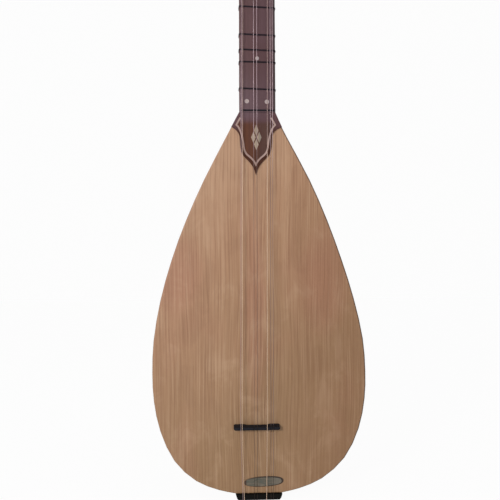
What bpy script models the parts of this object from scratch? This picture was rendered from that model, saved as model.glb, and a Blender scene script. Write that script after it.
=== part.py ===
"""A long-neck saz, a seven-string plucked lute with tied frets, as separate pieces at real size.

The neck runs up +Z and the soundboard faces -Y. Pieces are laid out with Z = 0 at the tail end of the
body, X = 0 on its centre line and Y = 0 at the front of the soundboard. At the end all of them move, so
that the origin is where a hanger holds the neck. Lengths are in metres.
"""

import math

import bmesh
import bpy
from mathutils import Matrix, Vector
from mathutils.geometry import interpolate_bezier

MM = 0.001

# Fits: wood is glued close, but meshes that touch keep this much air between them
GAP = 0.3 * MM

# Body
BOWL_LENGTH = 400 * MM
BOWL_WIDTH = 224.6 * MM
BOWL_DEPTH = 178 * MM
BOWL_WALL = 3 * MM
STAVE_COUNT = 9
TAIL_FLAT_WIDTH = 48 * MM
TAIL_FLAT_DEPTH = 34 * MM
SOUNDBOARD_THICKNESS = 3 * MM
# Stations of the bowl's mould: share of the length from the tail, share of the full half width
MOULD = (
    (0.010, 0.376),
    (0.035, 0.590),
    (0.088, 0.797),
    (0.166, 0.931),
    (0.245, 0.989),
    (0.318, 1.000),
    (0.403, 0.982),
    (0.508, 0.908),
    (0.613, 0.798),
    (0.718, 0.661),
    (0.823, 0.496),
    (0.933, 0.290),
    (0.966, 0.229),
)
# The hand-shaped body is not quite even: how far its centre line drifts, at shares of its length
DRIFT = (
    (0.000, 0.0 * MM),
    (0.060, 0.8 * MM),
    (0.110, 1.5 * MM),
    (0.200, 1.7 * MM),
    (0.300, 1.4 * MM),
    (0.410, 0.7 * MM),
    (0.510, -0.3 * MM),
    (0.640, -1.0 * MM),
    (0.820, -0.6 * MM),
    (0.965, -0.9 * MM),
    (1.000, -0.3 * MM),
)

# Inside the body
BLOCK_CLEARANCE = 0.6 * MM
TAIL_BLOCK_LENGTH = 26 * MM
NECK_BLOCK_LENGTH = 58 * MM
TENON_WIDTH = 15 * MM
TENON_DEPTH = 12 * MM
TENON_LENGTH = 30 * MM
TENON_COVER = 5 * MM
BRACE_PLACE = 262 * MM
BRACE_WIDTH = 8 * MM
BRACE_HEIGHT = 12 * MM

# Neck
SCALE_LENGTH = 880 * MM
NECK_WIDTH_AT_BODY = 38 * MM
NECK_WIDTH_AT_NUT = 35 * MM
NECK_DEPTH_AT_BODY = 24 * MM
NECK_DEPTH_AT_NUT = 21 * MM
HEEL_DEPTH = 30 * MM
HEEL_LENGTH = 19 * MM
NECK_SIDE = 6 * MM
FINGERBOARD_THICKNESS = 3 * MM
FINGERBOARD_STEP = 1.3 * MM
FINGERBOARD_EDGE = 1.3 * MM

# Overlay where the neck meets the soundboard: half width and distance below the neck joint
OVERLAY_THICKNESS = 1 * MM
OVERLAY_EAR = 15.5 * MM
OVERLAY_OFFSET = -1.9 * MM
OVERLAY_CURVES = (
    ((21.5 * MM, 17.5 * MM), (17.4 * MM, 21.0 * MM), (16.9 * MM, 26.0 * MM)),
    ((16.4 * MM, 33.0 * MM), (16.9 * MM, 41.5 * MM), (12.5 * MM, 46.5 * MM)),
    ((7.2 * MM, 51.8 * MM), (2.6 * MM, 55.5 * MM), (0.0 * MM, 65.5 * MM)),
)
LINE_WIDTH = 1.8 * MM
LINE_THICKNESS = 0.4 * MM
LINE_START = (16.2 * MM, 5.8 * MM)
LINE_EAR = (20.4 * MM, 13.3 * MM)
LINE_CURVES = (
    ((16.6 * MM, 16.2 * MM), (14.2 * MM, 24.0 * MM), (12.9 * MM, 34.0 * MM)),
    ((12.4 * MM, 38.5 * MM), (11.8 * MM, 42.6 * MM), (8.2 * MM, 45.4 * MM)),
    ((5.2 * MM, 47.8 * MM), (2.0 * MM, 50.2 * MM), (0.0 * MM, 55.1 * MM)),
)

# Oval plate let into the soundboard near the tail
OVAL_LENGTH = 39.2 * MM
OVAL_WIDTH = 9 * MM
OVAL_THICKNESS = 1 * MM
OVAL_HEIGHT = 12 * MM
OVAL_OFFSET = 4.3 * MM
OVAL_LEAN = math.radians(2)
OVAL_FULLNESS = 2.5

# Tied frets: cents above the open string, from the nut towards the body
FRET_CENTS = (
    90, 146, 204, 294, 350, 408, 498, 588, 648, 702, 792, 852, 906, 996, 1052, 1110,
    1200, 1318, 1387, 1443, 1576,
)  # fmt: skip
FRET_WIDTH = 1.7 * MM
FRET_HEIGHT = 0.8 * MM
FRET_LEANS = tuple(
    math.radians(a)
    for a in (1.6, 2.1, 1.3, 2.4, 1.7, 2.0, 1.5, 2.3, 1.9, 1.4, 2.2, 1.6, 2.0, 1.8, 2.3, 1.5, 2.5, 1.9, 1.9, 1.0, 2.4)
)
JOINT_FRET_CENTS = 1688
JOINT_FRET_PLACE = 1.9 * MM
JOINT_FRET_WIDTH = 1.5 * MM

# Bridge and nut. The bridge stands where the joint fret falls just above the neck joint
BRIDGE_PLACE = BOWL_LENGTH + JOINT_FRET_PLACE - SCALE_LENGTH * 2 ** (-JOINT_FRET_CENTS / 1200)
BRIDGE_LENGTH = 48.3 * MM
BRIDGE_HEIGHT = 8.5 * MM
BRIDGE_FOOT = 6.3 * MM
BRIDGE_TOP = 3 * MM
BRIDGE_ARCH = 1.8 * MM
BRIDGE_FOOT_LENGTH = 11 * MM
NUT_THICKNESS = 5 * MM
NUT_RISE = 2 * MM
NOTCH_DEPTH = 0.7 * MM

# Tailpiece on the tail end
TAILPIECE_HEIGHT = 6 * MM
TAILPIECE_RISE = 2.5 * MM
TAILPIECE_MARGIN = 0.4 * MM
TAILPIECE_TAPER = 3 * MM
ANCHOR_DEPTH = 3.2 * MM
ANCHOR_PLACE = 12 * MM

# Strings, from the bass side: place across the tailpiece, bridge and nut, and the peg
PLAIN_STRING = 0.5 * MM
WOUND_STRING = 0.8 * MM
STRINGS = (
    (-17.0 * MM, -19.3 * MM, -14.1 * MM, PLAIN_STRING, "side_peg_1"),
    (-15.5 * MM, -17.8 * MM, -12.6 * MM, WOUND_STRING, "side_peg_2"),
    (-4.8 * MM, -5.3 * MM, -2.9 * MM, PLAIN_STRING, "side_peg_3"),
    (-1.8 * MM, -1.9 * MM, 0.4 * MM, PLAIN_STRING, "front_peg_1"),
    (7.7 * MM, 8.3 * MM, 12.5 * MM, WOUND_STRING, "front_peg_2"),
    (12.4 * MM, 12.2 * MM, 14.4 * MM, PLAIN_STRING, "front_peg_3"),
    (14.8 * MM, 14.8 * MM, 16.1 * MM, PLAIN_STRING, "front_peg_4"),
)
STRING_BEND = 1.6 * MM
WINDING_TURNS = 3.25
WINDING_GAP = 0.45 * MM
POINTS_A_TURN = 16

# Head
HEAD_TILT = math.radians(12)
HEAD_LENGTH = 172 * MM
HEAD_THICKNESS = 19 * MM
HEAD_WIDTH_LOW = 29 * MM
HEAD_WIDTH_HIGH = 25 * MM
HEAD_BLEND = 22 * MM
HEAD_CROWN = 9 * MM
HEAD_EDGE = 3.5 * MM
HEAD_BACK_EDGE = 3 * MM

# Pegs
PEG_SPACING = 36 * MM
FIRST_FRONT_PEG = 34 * MM
FIRST_SIDE_PEG = 52 * MM
FRONT_PEG_COUNT = 4
SIDE_PEG_COUNT = 3
FRONT_PEG_OFFSET = 1.5 * MM
SIDE_PEG_DEPTH = 8 * MM
PEG_RADIUS = 4 * MM
PEG_END_RADIUS = 3.6 * MM
PEG_WAIST_RADIUS = 3 * MM
PEG_COLLAR_RADIUS = 4.6 * MM
PEG_WAIST_LENGTH = 8.4 * MM
PEG_COLLAR_LENGTH = 1.8 * MM
PEG_RECESS = 0.5 * MM
PEG_SIDES = 16
HANDLE_WIDTH = 27 * MM
HANDLE_HEIGHT = 14 * MM
HANDLE_THICKNESS = 7 * MM
HANDLE_NECK = 9 * MM
HANDLE_EDGE = 1.3 * MM
HANDLE_TURNS = tuple(math.radians(a) for a in (8, -14, 12, -6, 10, -12, 4))

# The neck rests in its hanger this far below the nut
HANGER_DROP = 12 * MM

# Places worked out from the sizes above
RIM = SOUNDBOARD_THICKNESS + GAP
FINGERBOARD_FRONT = -FINGERBOARD_STEP
FINGERBOARD_BACK = FINGERBOARD_FRONT + FINGERBOARD_THICKNESS
NECK_FRONT = FINGERBOARD_BACK + GAP
NUT_PLACE = BRIDGE_PLACE + SCALE_LENGTH
NECK_END = NUT_PLACE + NUT_THICKNESS + 3 * GAP
NUT_TOP = FINGERBOARD_FRONT - NUT_RISE
HEAD_BASE = Vector((0, NECK_FRONT, NECK_END + GAP))
HEAD_UP = Vector((0, math.sin(HEAD_TILT), math.cos(HEAD_TILT)))
HEAD_IN = Vector((0, math.cos(HEAD_TILT), -math.sin(HEAD_TILT)))
ACROSS = Vector((1, 0, 0))
TAILPIECE_FACE = -GAP - TAILPIECE_HEIGHT
HANGER = Vector((0, NECK_FRONT + NECK_DEPTH_AT_NUT / 2, NUT_PLACE - HANGER_DROP))

for old in list(bpy.data.objects):
    bpy.data.objects.remove(old, do_unlink=True)


def collection(name):
    """Returns the collection of that name, made new and linked to the scene."""
    made = bpy.data.collections.get(name) or bpy.data.collections.new(name)
    if made.name not in bpy.context.scene.collection.children:
        bpy.context.scene.collection.children.link(made)
    return made


PARTS = collection("long_neck_saz")
CUTTERS = collection("cutters")


def finish(name, colour, roughness, metallic=0.0):
    """Returns a Principled material. The colour is given as the eye reads it, from 0 to 255."""
    material = bpy.data.materials.new(name)
    material.use_nodes = True
    shader = material.node_tree.nodes["Principled BSDF"]
    linear = [((c / 255 + 0.055) / 1.055) ** 2.4 if c > 10 else c / 255 / 12.92 for c in colour]
    shader.inputs["Base Color"].default_value = (*linear, 1)
    shader.inputs["Roughness"].default_value = roughness
    shader.inputs["Metallic"].default_value = metallic
    material.diffuse_color = (*linear, 1)
    return material


SPRUCE = finish("spruce", (178, 141, 110), 0.45)
INNER_SPRUCE = finish("inner_spruce", (196, 164, 122), 0.7)
LIGHT_STAVE = finish("mulberry", (150, 94, 52), 0.35)
DARK_STAVE = finish("walnut", (98, 62, 40), 0.35)
NECK_WOOD = finish("neck_wood", (120, 74, 48), 0.4)
DARK_VENEER = finish("dark_veneer", (92, 64, 60), 0.3)
LIGHT_LINE = finish("maple_line", (176, 150, 136), 0.4)
PEARL = finish("pearl", (104, 108, 98), 0.25)
BLACK_WOOD = finish("black_wood", (28, 25, 24), 0.35)
BONE = finish("bone", (222, 212, 188), 0.4)
NYLON = finish("fret_nylon", (34, 26, 26), 0.35)
STEEL = finish("string_steel", (206, 204, 200), 0.25, 1.0)
BRONZE = finish("string_bronze", (214, 186, 150), 0.3, 1.0)
PEG_WOOD = finish("peg_wood", (44, 30, 26), 0.35)


def add_object(name, mesh, material, group=PARTS):
    """Links a mesh as an object of that name and gives it its material."""
    made = bpy.data.objects.new(name, mesh)
    if material:
        mesh.materials.append(material)
    group.objects.link(made)
    return made


def mesh_of(bm, name, smooth_below=None):
    """Turns a bmesh into a mesh with its faces pointing out, shaded smooth under an angle."""
    bmesh.ops.recalc_face_normals(bm, faces=bm.faces)
    mesh = bpy.data.meshes.new(name)
    bm.to_mesh(mesh)
    bm.free()
    if smooth_below:
        mesh.shade_smooth()
        mesh.set_sharp_from_angle(angle=smooth_below)
    return mesh


def loft(name, rings, closed=False, strip_caps=False):
    """Joins rings of as many points each. Strip caps close a ring of two facing rows of points."""
    bm = bmesh.new()
    rows = [[bm.verts.new(point) for point in ring] for ring in rings]
    around = len(rows[0])
    pairs = list(zip(rows, rows[1:])) + ([(rows[-1], rows[0])] if closed else [])
    for low, high in pairs:
        for i in range(around):
            j = (i + 1) % around
            bm.faces.new((low[i], low[j], high[j], high[i]))
    for row in () if closed else (rows[0], rows[-1]):
        if strip_caps:
            for i in range(around // 2 - 1):
                bm.faces.new((row[i], row[i + 1], row[-i - 2], row[-i - 1]))
        else:
            bm.faces.new(row)
    return mesh_of(bm, name, math.radians(35))


def plate(name, outline, front, back):
    """A flat piece between two Y values, from an outline of (x, z) points."""
    bm = bmesh.new()
    face = bm.faces.new([bm.verts.new((x, front, z)) for x, z in outline])
    extruded = bmesh.ops.extrude_face_region(bm, geom=[face])
    moved = [v for v in extruded["geom"] if isinstance(v, bmesh.types.BMVert)]
    bmesh.ops.translate(bm, vec=(0, back - front, 0), verts=moved)
    return mesh_of(bm, name)


def block(name, low, high):
    """A box between two corners."""
    bm = bmesh.new()
    bmesh.ops.create_cube(bm, size=1)
    low, high = Vector(low), Vector(high)
    bmesh.ops.scale(bm, vec=high - low, verts=bm.verts)
    bmesh.ops.translate(bm, vec=(low + high) / 2, verts=bm.verts)
    return mesh_of(bm, name)


def drill(name, start, axis, length, radius, end_radius=None, sides=PEG_SIDES):
    """A cutter for a round hole whose flats lie at the radius, along an axis from a start point."""
    bm = bmesh.new()
    grow = 1 / math.cos(math.pi / sides)
    bmesh.ops.create_cone(
        bm,
        cap_ends=True,
        segments=sides,
        radius1=radius * grow,
        radius2=(end_radius or radius) * grow,
        depth=length,
    )
    turn = Vector((0, 0, 1)).rotation_difference(axis).to_matrix().to_4x4()
    place = Matrix.Translation(start + axis * (length / 2)) @ turn
    bmesh.ops.transform(bm, matrix=place, verts=bm.verts)
    return mesh_of(bm, name)


def combine(target, tool_mesh, operation):
    """Cuts or joins a piece with a mesh, by an exact Boolean whose tool stays out of the model."""
    tool = add_object(tool_mesh.name, tool_mesh, None, CUTTERS)
    tool.matrix_world = target.matrix_world
    tool.hide_render = True
    tool.display_type = "WIRE"
    modifier = target.modifiers.new(tool_mesh.name, "BOOLEAN")
    modifier.operation = operation
    modifier.solver = "EXACT"
    modifier.object = tool


def mirrored(half):
    """A closed outline from the right half's (x, z) points, listed from the top to the bottom."""
    left = [(-x, z) for x, z in reversed(half) if x > 0]
    return half + left


def through(points, steps):
    """Points on a smooth curve through the given points, that many steps from each to the next."""
    points = [Vector(p) for p in points]
    ends = [2 * points[0] - points[1], *points, 2 * points[-1] - points[-2]]
    smooth = []
    for a, b, c, d in zip(ends, ends[1:], ends[2:], ends[3:]):
        near, span, far = ((q - p).length ** 0.5 for p, q in ((a, b), (b, c), (c, d)))
        out = (b - a) / near - (c - a) / (near + span) + (c - b) / span
        into = (c - b) / span - (d - b) / (span + far) + (d - c) / far
        hand_b, hand_c = b + out * span / 3, c - into * span / 3
        smooth += interpolate_bezier(b, hand_b, hand_c, c, steps + 1)[:-1]
    return smooth + [points[-1]]


def bowl_profile(full, tail, neck, steps=2):
    """Distances from the centre line along the mould, as (z, distance) from tail to neck joint."""
    inner = [(z * BOWL_LENGTH, share * full) for z, share in MOULD]
    return through([(0, tail), *inner, (BOWL_LENGTH, neck)], steps)


def value_at(profile, z):
    """Reads a profile of (z, distance) at a height between two of its points."""
    for (z0, a), (z1, b) in zip(profile, profile[1:]):
        if z0 <= z <= z1:
            return a + (b - a) * (z - z0) / (z1 - z0)
    return profile[-1][1] if z > profile[-1][0] else profile[0][1]


def inset(profile, distance):
    """The profile moved inwards, square to itself."""
    moved = []
    for i, here in enumerate(profile):
        along = profile[min(i + 1, len(profile) - 1)] - profile[max(i - 1, 0)]
        moved.append(here + Vector((along.y, -along.x)).normalized() * distance)
    return moved


HALF_WIDTHS = bowl_profile(BOWL_WIDTH / 2, TAIL_FLAT_WIDTH / 2, NECK_WIDTH_AT_BODY / 2)
DEPTHS = bowl_profile(BOWL_DEPTH, TAIL_FLAT_DEPTH, HEEL_DEPTH)
CENTRE_LINE = through([(share * BOWL_LENGTH, aside) for share, aside in DRIFT], 3)


def drift(z):
    """How far right of the strings' middle the body's own centre line lies."""
    return value_at(CENTRE_LINE, z)


def bowl_point(station, angle):
    """A point on the bowl's outside, and the way out of the wall there."""
    last = len(HALF_WIDTHS) - 1
    low, high = max(station - 1, 0), min(station + 1, last)
    width, depth = HALF_WIDTHS[station].y, DEPTHS[station].y
    z = (HALF_WIDTHS[station].x + DEPTHS[station].x) / 2
    cos, sin = math.cos(angle), math.sin(angle)
    across = Vector((-width * sin, depth * cos, 0))
    along = Vector(
        (
            (HALF_WIDTHS[high].y - HALF_WIDTHS[low].y) * cos,
            (DEPTHS[high].y - DEPTHS[low].y) * sin,
            HALF_WIDTHS[high].x - HALF_WIDTHS[low].x,
        )
    )
    point = Vector((drift(z) + width * cos, RIM + depth * sin, z))
    return point, across.cross(along).normalized()


def stave(index):
    """One rib of the bowl, between two planes of the mould, with half a gap off each long edge."""
    start, end = (math.pi * (index + k) / STAVE_COUNT for k in (0, 1))
    rings = []
    for station in range(len(HALF_WIDTHS)):
        girth = math.hypot(HALF_WIDTHS[station].y, DEPTHS[station].y) / math.sqrt(2)
        trim = GAP / 2 / girth
        first = start + (trim if index > 0 else 0)
        last = end - (trim if index < STAVE_COUNT - 1 else 0)
        points = [bowl_point(station, first + (last - first) * k / 2) for k in range(3)]
        outer = [p for p, _ in points]
        inner = [p - n * BOWL_WALL for p, n in points]
        rings.append(outer + inner[::-1])
    name = f"bowl_stave_{index + 1}"
    wood = LIGHT_STAVE if index % 2 == 0 else DARK_STAVE
    return add_object(name, loft(name, rings, strip_caps=True), wood)


def half_round(half_width, depth, z, steps=12):
    """A level half ellipse behind the soundboard."""
    angles = (math.pi * i / steps for i in range(steps + 1))
    return [Vector((half_width * math.cos(a), RIM + depth * math.sin(a), z)) for a in angles]


def inside_ring(station, steps=2 * STAVE_COUNT):
    """The points just inside the staves at a station, from rim to rim."""
    ring = []
    for i in range(steps + 1):
        point, out = bowl_point(station, math.pi * i / steps)
        ring.append(point - out * (BOWL_WALL + BLOCK_CLEARANCE))
    return ring


def level(ring, z):
    """The ring laid flat at a height."""
    return [Vector((p.x, p.y, z)) for p in ring]


def tail_block():
    """The block that the staves' tail ends are glued round, with a boss that fills the flat."""
    rings = [inside_ring(station) for station in range(len(HALF_WIDTHS))]
    rings = [ring for ring in rings if max(p.z for p in ring) < TAIL_BLOCK_LENGTH]
    clearance = BOWL_WALL + BLOCK_CLEARANCE
    boss = (TAIL_FLAT_WIDTH / 2 - clearance, TAIL_FLAT_DEPTH - clearance)
    steps = len(rings[0]) - 1
    low = [half_round(*boss, z, steps) for z in (0, BOWL_WALL)]
    rings = low + rings + [level(rings[-1], TAIL_BLOCK_LENGTH)]
    return add_object("tail_block", loft("tail_block", rings), INNER_SPRUCE)


def neck_block():
    """The block inside the narrow end of the bowl, with the mortise for the neck's tenon."""
    bottom = BOWL_LENGTH - NECK_BLOCK_LENGTH
    rings = [inside_ring(station) for station in range(len(HALF_WIDTHS))]
    rings = [ring for ring in rings if min(p.z for p in ring) > bottom]
    rings = [level(rings[0], bottom)] + rings + [level(rings[-1], BOWL_LENGTH - GAP)]
    made = add_object("neck_block", loft("neck_block", rings), INNER_SPRUCE)
    low, high = tenon_box(GAP)
    combine(made, block("mortise", low, high + Vector((0, 0, GAP))), "DIFFERENCE")
    return made


def tenon_box(clearance):
    """The corners of the neck's tenon, grown by a clearance on every side."""
    grow = Vector((clearance,) * 3)
    front = RIM + TENON_COVER
    low = Vector((-TENON_WIDTH / 2, front, BOWL_LENGTH - TENON_LENGTH))
    high = Vector((TENON_WIDTH / 2, front + TENON_DEPTH, BOWL_LENGTH))
    return low - grow, high + grow


def brace():
    """The bar glued across the underside of the soundboard."""
    reach = value_at(inset(HALF_WIDTHS, BOWL_WALL + BLOCK_CLEARANCE), BRACE_PLACE)
    end = reach - BRACE_WIDTH
    drop = BRACE_HEIGHT / 3
    side = [
        (-end, RIM),
        (end, RIM),
        (end, RIM + drop),
        (end - BRACE_HEIGHT, RIM + BRACE_HEIGHT),
        (BRACE_HEIGHT - end, RIM + BRACE_HEIGHT),
        (-end, RIM + drop),
    ]
    rings = [[Vector((x, y, BRACE_PLACE + s * BRACE_WIDTH / 2)) for x, y in side] for s in (-1, 1)]
    return add_object("soundboard_brace", loft("soundboard_brace", rings), INNER_SPRUCE)


def body_half(z):
    """Half the body's width at the rim."""
    return value_at(HALF_WIDTHS, z)


def oval(name, grow, front, back):
    """A full oval outline as a plate, leaning a little with the strings over it."""
    turn = Matrix.Rotation(OVAL_LEAN, 2)
    outline = []
    sides = 40
    power = 2 / OVAL_FULLNESS
    for i in range(sides):
        a = 2 * math.pi * i / sides
        cos, sin = math.cos(a), math.sin(a)
        x = math.copysign(abs(cos) ** power, cos) * (OVAL_LENGTH / 2 + grow)
        z = math.copysign(abs(sin) ** power, sin) * (OVAL_WIDTH / 2 + grow)
        outline.append(turn @ Vector((x, z)) + Vector((OVAL_OFFSET, OVAL_HEIGHT)))
    return plate(name, outline, front, back)


def soundboard():
    """The front of the body, with the pocket for the oval plate."""
    half = [(p.y, p.x) for p in reversed(HALF_WIDTHS)]
    half[0] = (half[0][0], BOWL_LENGTH - GAP)
    outline = [(x + drift(z), z) for x, z in mirrored(half)]
    made = add_object("soundboard", plate("soundboard", outline, 0, SOUNDBOARD_THICKNESS), SPRUCE)
    pocket = oval("oval_pocket", GAP, -GAP, OVAL_THICKNESS + GAP)
    combine(made, pocket, "DIFFERENCE")
    return made


def oval_plate():
    """The pearl oval under the strings near the tail."""
    return add_object("oval_plate", oval("oval_plate", 0, 0, OVAL_THICKNESS), PEARL)


def curve_down(start, curves, steps):
    """Bezier pieces one after another, as (half width, distance below the joint) points."""
    points = [Vector(start)]
    for hand_out, hand_in, end in curves:
        piece = interpolate_bezier(points[-1], Vector(hand_out), Vector(hand_in), Vector(end), steps + 1)
        points += piece[1:]
    return points


def neck_overlay():
    """The dark pointed veneer on the neck joint, grooved for its light line."""
    top = BOWL_LENGTH - GAP
    edge_z = [top, BOWL_LENGTH - OVERLAY_EAR / 2, BOWL_LENGTH - OVERLAY_EAR]
    outline = []
    for side in (1, -1):
        half = [(drift(z) + side * body_half(z), z) for z in edge_z]
        ear = side * (half[-1][0] - OVERLAY_OFFSET)
        curve = curve_down((ear, OVERLAY_EAR), OVERLAY_CURVES, 6)
        half += [(OVERLAY_OFFSET + side * x, BOWL_LENGTH - down) for x, down in curve[1:]]
        outline += half if side > 0 else half[-2::-1]
    back = -GAP
    front = back - OVERLAY_THICKNESS
    made = add_object("neck_overlay", plate("neck_overlay", outline, front, back), DARK_VENEER)
    groove = plate("line_groove", line_outline(GAP), front - GAP, front + LINE_THICKNESS + GAP)
    combine(made, groove, "DIFFERENCE")
    return made


def line_outline(grow):
    """The outline of the light line: its centre line with half its width to each side."""
    half = [Vector(LINE_START)] + curve_down(LINE_EAR, LINE_CURVES, 6)
    right = [Vector((OVERLAY_OFFSET + x, BOWL_LENGTH - down)) for x, down in half]
    left = [Vector((OVERLAY_OFFSET - x, BOWL_LENGTH - down)) for x, down in half[-2::-1]]
    centre = right + left
    # The groove is longer than the line by its clearance at each end
    for end, inner in ((0, 1), (-1, -2)):
        centre[end] = centre[end] + (centre[end] - centre[inner]).normalized() * grow
    side = LINE_WIDTH / 2 + grow
    outer, inside = [], []
    for i, here in enumerate(centre):
        before = (here - centre[i - 1]).normalized() if i else None
        after = (centre[i + 1] - here).normalized() if i + 1 < len(centre) else None
        before, after = before or after, after or before
        bisector = (before + after).normalized()
        reach = side / max(bisector.dot(before), 0.3)
        normal = Vector((-bisector.y, bisector.x)) * reach
        outer.append(here + normal)
        inside.append(here - normal)
    return outer + inside[::-1]


def inlay_line():
    """The light line let into the overlay, flush with it."""
    front = -GAP - OVERLAY_THICKNESS
    mesh = plate("inlay_line", line_outline(0), front, front + LINE_THICKNESS)
    return add_object("inlay_line", mesh, LIGHT_LINE)


def section(half_width, front, back, corner, front_edge, steps=6):
    """A neck-like section as (x, y): flat front with cut corners, flat sides, rounded back corners.

    corner is the two half axes of the quarter ellipse at each back corner.
    """
    wide, deep = corner
    right = [(half_width - front_edge, front), (half_width, front + front_edge)]
    for i in range(steps + 1):
        a = math.pi / 2 * i / steps
        right.append((half_width - wide + wide * math.cos(a), back - deep + deep * math.sin(a)))
    left = [(-x, y) for x, y in reversed(right)]
    # At a full round back the two middle points meet, so they are kept a hair apart
    if right[-1][0] < GAP:
        right[-1], left[0] = (GAP, back), (-GAP, back)
    return right + left


def neck_half(z):
    """Half the neck's width."""
    along = (z - BOWL_LENGTH) / (NUT_PLACE - BOWL_LENGTH)
    return (NECK_WIDTH_AT_BODY + (NECK_WIDTH_AT_NUT - NECK_WIDTH_AT_BODY) * along) / 2


def neck_back(z):
    """How far back the neck reaches, with the heel's swell next to the body."""
    along = (z - BOWL_LENGTH) / (NUT_PLACE - BOWL_LENGTH)
    straight = NECK_FRONT + NECK_DEPTH_AT_BODY + (NECK_DEPTH_AT_NUT - NECK_DEPTH_AT_BODY) * along
    near = max(0, 1 - (z - BOWL_LENGTH) / HEEL_LENGTH)
    heel = RIM + HEEL_DEPTH - (NECK_FRONT + NECK_DEPTH_AT_BODY)
    return straight + heel * near * near


def neck_side(z):
    """How far the neck's flat side reaches behind its front, growing away from the heel."""
    near = max(0, 1 - (z - BOWL_LENGTH) / HEEL_LENGTH)
    return NECK_SIDE + (RIM - NECK_FRONT - NECK_SIDE) * near


def neck_section(z, grow=0.0, with_fingerboard=False):
    """The neck's section at a height, grown by a distance, with or without its fingerboard."""
    half = neck_half(z)
    back = neck_back(z)
    deep = back - NECK_FRONT - neck_side(z)
    front, edge = (FINGERBOARD_FRONT, FINGERBOARD_EDGE) if with_fingerboard else (NECK_FRONT, GAP / 3)
    corner = (half + grow, deep + grow)
    return section(half + grow, front - grow, back + grow, corner, edge + grow / 2)


def neck():
    """The neck from the body to the head, with the tenon that goes into the neck block."""
    heights = [BOWL_LENGTH + HEEL_LENGTH * k / 4 for k in range(5)]
    heights += [BOWL_LENGTH + HEEL_LENGTH * 4, NECK_END]
    rings = [[Vector((x, y, z)) for x, y in neck_section(z)] for z in heights]
    made = add_object("neck", loft("neck", rings), NECK_WOOD)
    low, high = tenon_box(0)
    combine(made, block("tenon", low, high + Vector((0, 0, TENON_WIDTH / 2))), "UNION")
    return made


def fingerboard():
    """The dark board on the neck, from the neck joint to the nut."""
    rings = []
    edge = FINGERBOARD_EDGE
    for z in (BOWL_LENGTH, NUT_PLACE - GAP):
        half = neck_half(z)
        right = [(half - edge, FINGERBOARD_FRONT), (half, FINGERBOARD_FRONT + edge), (half, FINGERBOARD_BACK)]
        ring = right + [(-x, y) for x, y in reversed(right)]
        rings.append([Vector((x, y, z)) for x, y in ring])
    return add_object("fingerboard", loft("fingerboard", rings), DARK_VENEER)


def fret_place(cents):
    """The height of a fret that sounds that many cents above the open string."""
    return BRIDGE_PLACE + SCALE_LENGTH * 2 ** (-cents / 1200)


def fret(index, cents, lean):
    """One tied fret: a band round neck and fingerboard, leaning a little, with its origin on it."""
    z = fret_place(cents)
    inner = neck_section(z, GAP, with_fingerboard=True)
    outer = neck_section(z, GAP + FRET_HEIGHT, with_fingerboard=True)
    rings = []
    for loop, side in ((inner, -1), (outer, -1), (outer, 1), (inner, 1)):
        lift = side * FRET_WIDTH / 2
        rings.append([Vector((x, y, lift - x * math.tan(lean))) for x, y in loop])
    name = f"fret_{index + 1:02d}"
    made = add_object(name, loft(name, rings, closed=True), NYLON)
    made.location = (0, 0, z)
    return made


def joint_fret():
    """The short fret glued across the fingerboard next to the neck joint."""
    z = fret_place(JOINT_FRET_CENTS)
    half = neck_half(z) - FINGERBOARD_EDGE
    wide = JOINT_FRET_WIDTH / 2
    foot = FINGERBOARD_FRONT - GAP
    shape = [
        (foot, -wide),
        (foot - FRET_HEIGHT * 0.6, -wide),
        (foot - FRET_HEIGHT, -wide / 2),
        (foot - FRET_HEIGHT, wide / 2),
        (foot - FRET_HEIGHT * 0.6, wide),
        (foot, wide),
    ]
    rings = [[Vector((x, y, z + lift)) for y, lift in shape] for x in (-half, half)]
    return add_object("joint_fret", loft("joint_fret", rings), BLACK_WOOD)


def string_middle(column):
    """The middle of the string band at a column of STRINGS."""
    places = [s[column] for s in STRINGS]
    return (min(places) + max(places)) / 2


def notched(half, middle, bottom, top, column, ends):
    """An (x, y) outline of a bar whose top edge has a notch under every string."""
    points = [(middle - half, bottom), (middle - half, top + ends), (middle - half + ends, top)]
    for string in STRINGS:
        reach = string[3] / 2 + GAP
        x = string[column]
        points += [(x - reach, top), (x - reach, top + NOTCH_DEPTH)]
        points += [(x + reach, top + NOTCH_DEPTH), (x + reach, top)]
    points += [(middle + half - ends, top), (middle + half, top + ends), (middle + half, bottom)]
    return points


def bridge():
    """The floating bridge: two feet, a low arch and a notch for each string."""
    middle = string_middle(1)
    half = BRIDGE_LENGTH / 2
    foot, top = -GAP, -GAP - BRIDGE_HEIGHT
    outline = notched(half, middle, foot, top, 1, BRIDGE_FOOT / 3)
    inner = half - BRIDGE_FOOT_LENGTH
    arch = [
        (middle + inner, foot),
        (middle + inner * 0.8, foot - BRIDGE_ARCH),
        (middle - inner * 0.8, foot - BRIDGE_ARCH),
        (middle - inner, foot),
    ]
    rings = []
    for side in (-1, 1):
        ring = []
        for x, y in outline + arch:
            share = (foot - y) / BRIDGE_HEIGHT
            thick = BRIDGE_FOOT + (BRIDGE_TOP - BRIDGE_FOOT) * share
            ring.append(Vector((x, y, side * thick / 2)))
        rings.append(ring)
    made = add_object("bridge", loft("bridge", rings), BLACK_WOOD)
    made.location = (0, 0, BRIDGE_PLACE)
    return made


def nut():
    """The nut, on the neck's wood at the fingerboard's end."""
    half = NECK_WIDTH_AT_NUT / 2 - GAP
    outline = notched(half, 0, FINGERBOARD_BACK, NUT_TOP, 2, NUT_RISE / 2)
    low, high = NUT_PLACE, NUT_PLACE + NUT_THICKNESS
    rings = [[Vector((x, y, z)) for x, y in outline] for z in (low, high)]
    return add_object("nut", loft("nut", rings), BONE)


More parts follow.
